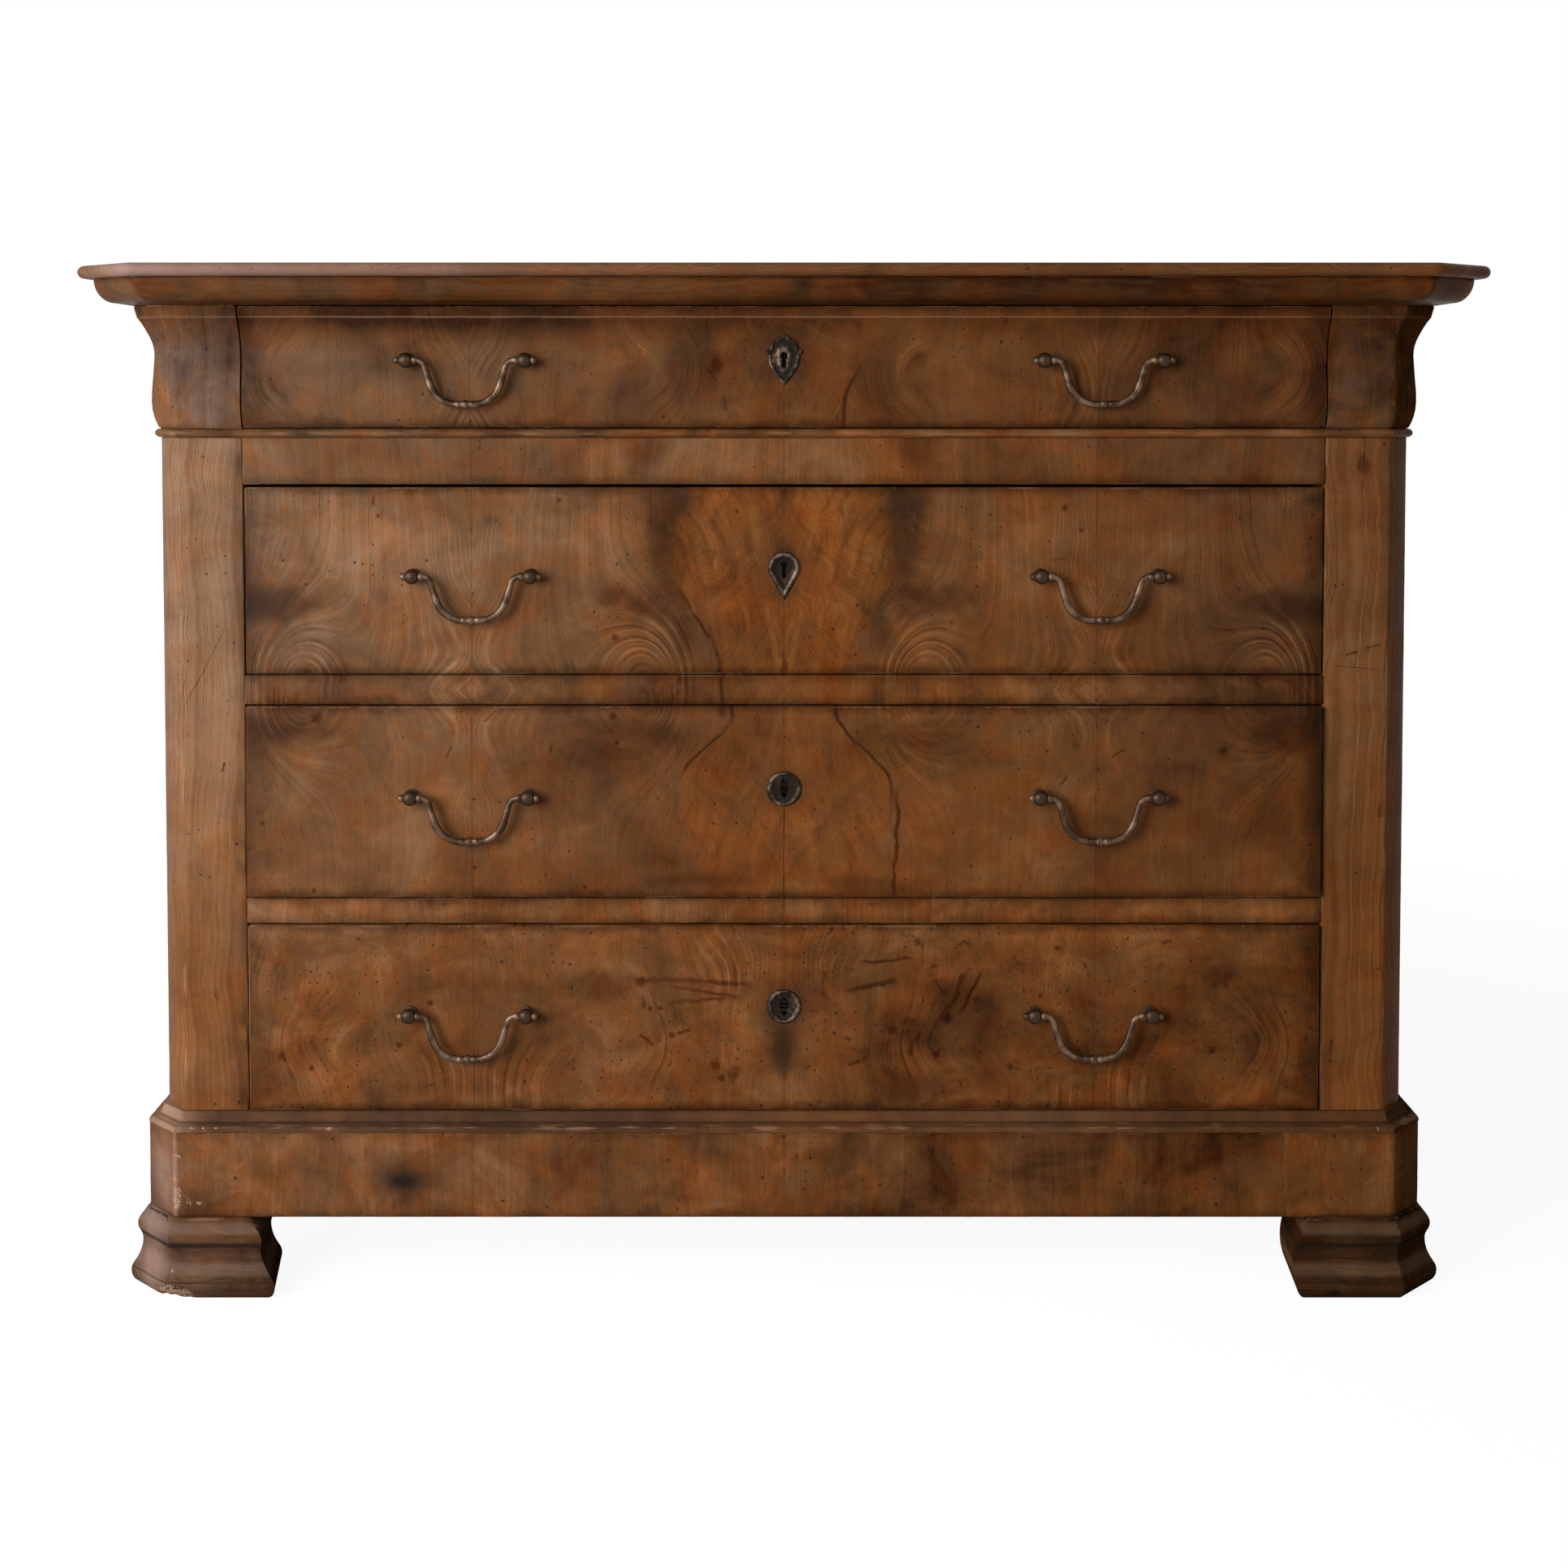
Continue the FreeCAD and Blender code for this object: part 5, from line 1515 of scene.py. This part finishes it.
class CHEST_OT_fittings(bpy.types.Operator):
    """Bails, posts, keyhole plates and locks"""
    bl_idname = "chest.fittings"
    bl_label = "Fittings"

    def execute(self, context):
        metal = context.scene.chest_metal
        bronze = old_metal("aged bronze", metal.patina, metal.rubbed, 0.44, 0.42)
        dark = old_metal("dark bronze", metal.dark, metal.rim, 0.34, 0.50)
        iron = old_metal("lock iron", metal.iron, metal.iron, 0.0, 0.6)
        for name in DRAWERS:
            for side, axis in zip(SIDES, bail_axes(name)):
                node = name + "_handle_" + side
                finish_piece(node + "_bail", bail(*axis), bronze, name + "_bail_" + side,
                             "aged_bronze", node)
            self.make_posts(name, bronze)
            self.make_plate(name, dark)
            for part in ("_lock", "_lock_bolt"):
                paint(name + part, iron)
        return {"FINISHED"}

    def make_posts(self, name, bronze):
        node = name + "_handle_posts"
        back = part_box(name + "_front")[1].y
        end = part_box(node)[1].y
        parts = []
        for x, y, z in bail_axes(name):
            for half in (-HANDLE_HALF, HANDLE_HALF):
                parts += post_and_nut(x + half, y + AXIS_OFF_FACE, z, back, end)
        finish_piece(node + "_turned", merged(parts), bronze, name, "aged_bronze", node)

    def make_plate(self, name, dark):
        """A shield on the first drawer, an open drop on the second, discs on the others."""
        node = name + "_keyhole_plate"
        low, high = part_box(node)
        half = (high - low) / 2
        hole = polar(keyhole_radius)
        key_z = high.z - half.z
        if name == "drawer_1":
            outer, layers = polar(shield_radius), SHIELD_LAYERS
        elif name == "drawer_2":
            outer, layers = polar(drop_radius(*DROP_OUTLINE)), DROP_LAYERS
            hole = polar(drop_radius(*DROP_OPENING))
            key_z = high.z - half.x
        else:
            outer, layers = polar(lambda down: (high.x - low.x) / 2), DISC_LAYERS
        outer = [(x, z + key_z) for x, z in outer]
        hole = [(x, z + key_z) for x, z in hole]
        bm = plate(outer, hole, layers, wood_face(name + "_front"))
        finish_piece(node + "_cast", bm, dark, name, "dark_bronze", node)


FLOOR_HALF = 12.0


class CHEST_OT_stage(bpy.types.Operator):
    """Floor, soft lights and the camera"""
    bl_idname = "chest.stage"
    bl_label = "Stage"

    def execute(self, context):
        stage = context.scene.chest_stage
        self.lay_floor()
        self.light_room(stage)
        self.hang_lamps(stage)
        self.place_camera(context, stage)
        return {"FINISHED"}

    def lay_floor(self):
        bm = bmesh.new()
        bmesh.ops.create_grid(bm, x_segments=1, y_segments=1, size=FLOOR_HALF)
        mesh = bpy.data.meshes.new("floor")
        bm.to_mesh(mesh)
        bm.free()
        mesh.materials.append(self.floor_paint())
        floor = bpy.data.objects.new("floor", mesh)
        bpy.context.scene.collection.objects.link(floor)

    def floor_paint(self):
        """Grey paint that keeps the shadow, and glows to white where it is seen directly."""
        material = bpy.data.materials.new("pale floor")
        g = Graph(material)
        seen = g.seen_directly()
        place = Wire(g, g.add("ShaderNodeTexCoord").outputs["Object"])
        level = g.far_from(place, (0.0, 0.0, 0.0)).rise(0.9, 2.6) * 0.075 + 0.925
        glow = g.add("ShaderNodeEmission")
        g.feed(glow.inputs["Strength"], level * seen)
        matte = g.add("ShaderNodeBsdfDiffuse")
        g.feed(matte.inputs["Color"], g.blend(seen, (0.45, 0.45, 0.45), (0.16, 0.16, 0.16)))
        both = g.add("ShaderNodeAddShader")
        output = g.add("ShaderNodeOutputMaterial")
        g.tree.links.new(matte.outputs[0], both.inputs[0])
        g.tree.links.new(glow.outputs[0], both.inputs[1])
        g.tree.links.new(both.outputs[0], output.inputs["Surface"])
        return material

    def light_room(self, stage):
        """White where it is seen directly, and a low level of light elsewhere."""
        world = bpy.data.worlds.new("room")
        bpy.context.scene.world = world
        g = Graph(world)
        back = g.add("ShaderNodeBackground")
        back.inputs["Color"].default_value = (1.0, 1.0, 1.0, 1.0)
        level = g.add("ShaderNodeMapRange")
        level.inputs["To Min"].default_value = stage.room
        g.feed(level.inputs["Value"], g.seen_directly())
        output = g.add("ShaderNodeOutputWorld")
        g.tree.links.new(level.outputs[0], back.inputs["Strength"])
        g.tree.links.new(back.outputs[0], output.inputs["Surface"])

    def hang_lamps(self, stage):
        for name, power, size, spot, target in (
                ("key", stage.key, (1.6, 1.8), (-1.90, -2.40, 1.25), (0.0, 0.0, 0.5)),
                ("side", stage.side, (1.0, 1.8), (-2.70, -0.95, 1.05), (-0.5, -0.2, 0.5)),
                ("fill", stage.fill, (2.0, 2.0), (2.6, -3.0, 1.6), (0.0, 0.0, 0.5))):
            light = bpy.data.lights.new(name, "AREA")
            light.energy = power
            light.shape = "RECTANGLE"
            light.size, light.size_y = size
            lamp = bpy.data.objects.new(name, light)
            lamp.location = spot
            facing = Vector(target) - Vector(spot)
            lamp.rotation_euler = facing.to_track_quat("-Z", "Y").to_euler()
            bpy.context.scene.collection.objects.link(lamp)

    def place_camera(self, context, stage):
        lens = bpy.data.cameras.new("camera")
        lens.lens = stage.lens
        lens.sensor_width = 36.0
        lens.shift_y = stage.shift
        camera = bpy.data.objects.new("camera", lens)
        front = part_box("stile_left")[0].y
        camera.location = (0.0, front - stage.distance, stage.height)
        camera.rotation_euler = Euler((math.radians(90.0) - stage.tilt, 0.0, 0.0))
        bpy.context.scene.collection.objects.link(camera)
        context.scene.camera = camera
        context.scene.view_settings.view_transform = "Standard"


OPERATORS = (CHEST_OT_top, CHEST_OT_frieze, CHEST_OT_posts_and_rails, CHEST_OT_sides_and_back,
             CHEST_OT_base, CHEST_OT_drawer_fronts, CHEST_OT_drawer_boxes, CHEST_OT_fittings,
             CHEST_OT_stage)


class CHEST_PT_panel(bpy.types.Panel):
    """Lists the pieces of the chest"""
    bl_idname = "CHEST_PT_panel"
    bl_label = "Chest of drawers"
    bl_space_type = "VIEW_3D"
    bl_region_type = "UI"
    bl_category = "Chest"

    def draw(self, context):
        for operator in OPERATORS:
            self.layout.operator(operator.bl_idname)


SETTINGS = {"chest_wood": WoodSettings, "chest_wear": WearSettings,
            "chest_metal": MetalSettings, "chest_stage": StageSettings}


def register():
    for name, group in SETTINGS.items():
        bpy.utils.register_class(group)
        setattr(bpy.types.Scene, name, PointerProperty(type=group))
    for each in (*OPERATORS, CHEST_PT_panel):
        bpy.utils.register_class(each)


def unregister():
    for each in (*OPERATORS, CHEST_PT_panel):
        bpy.utils.unregister_class(each)
    for name, group in SETTINGS.items():
        delattr(bpy.types.Scene, name)
        bpy.utils.unregister_class(group)


def main():
    register()
    for operator in OPERATORS:
        group, action = operator.bl_idname.split(".")
        getattr(getattr(bpy.ops, group), action)()


if __name__ == "__main__":
    main()
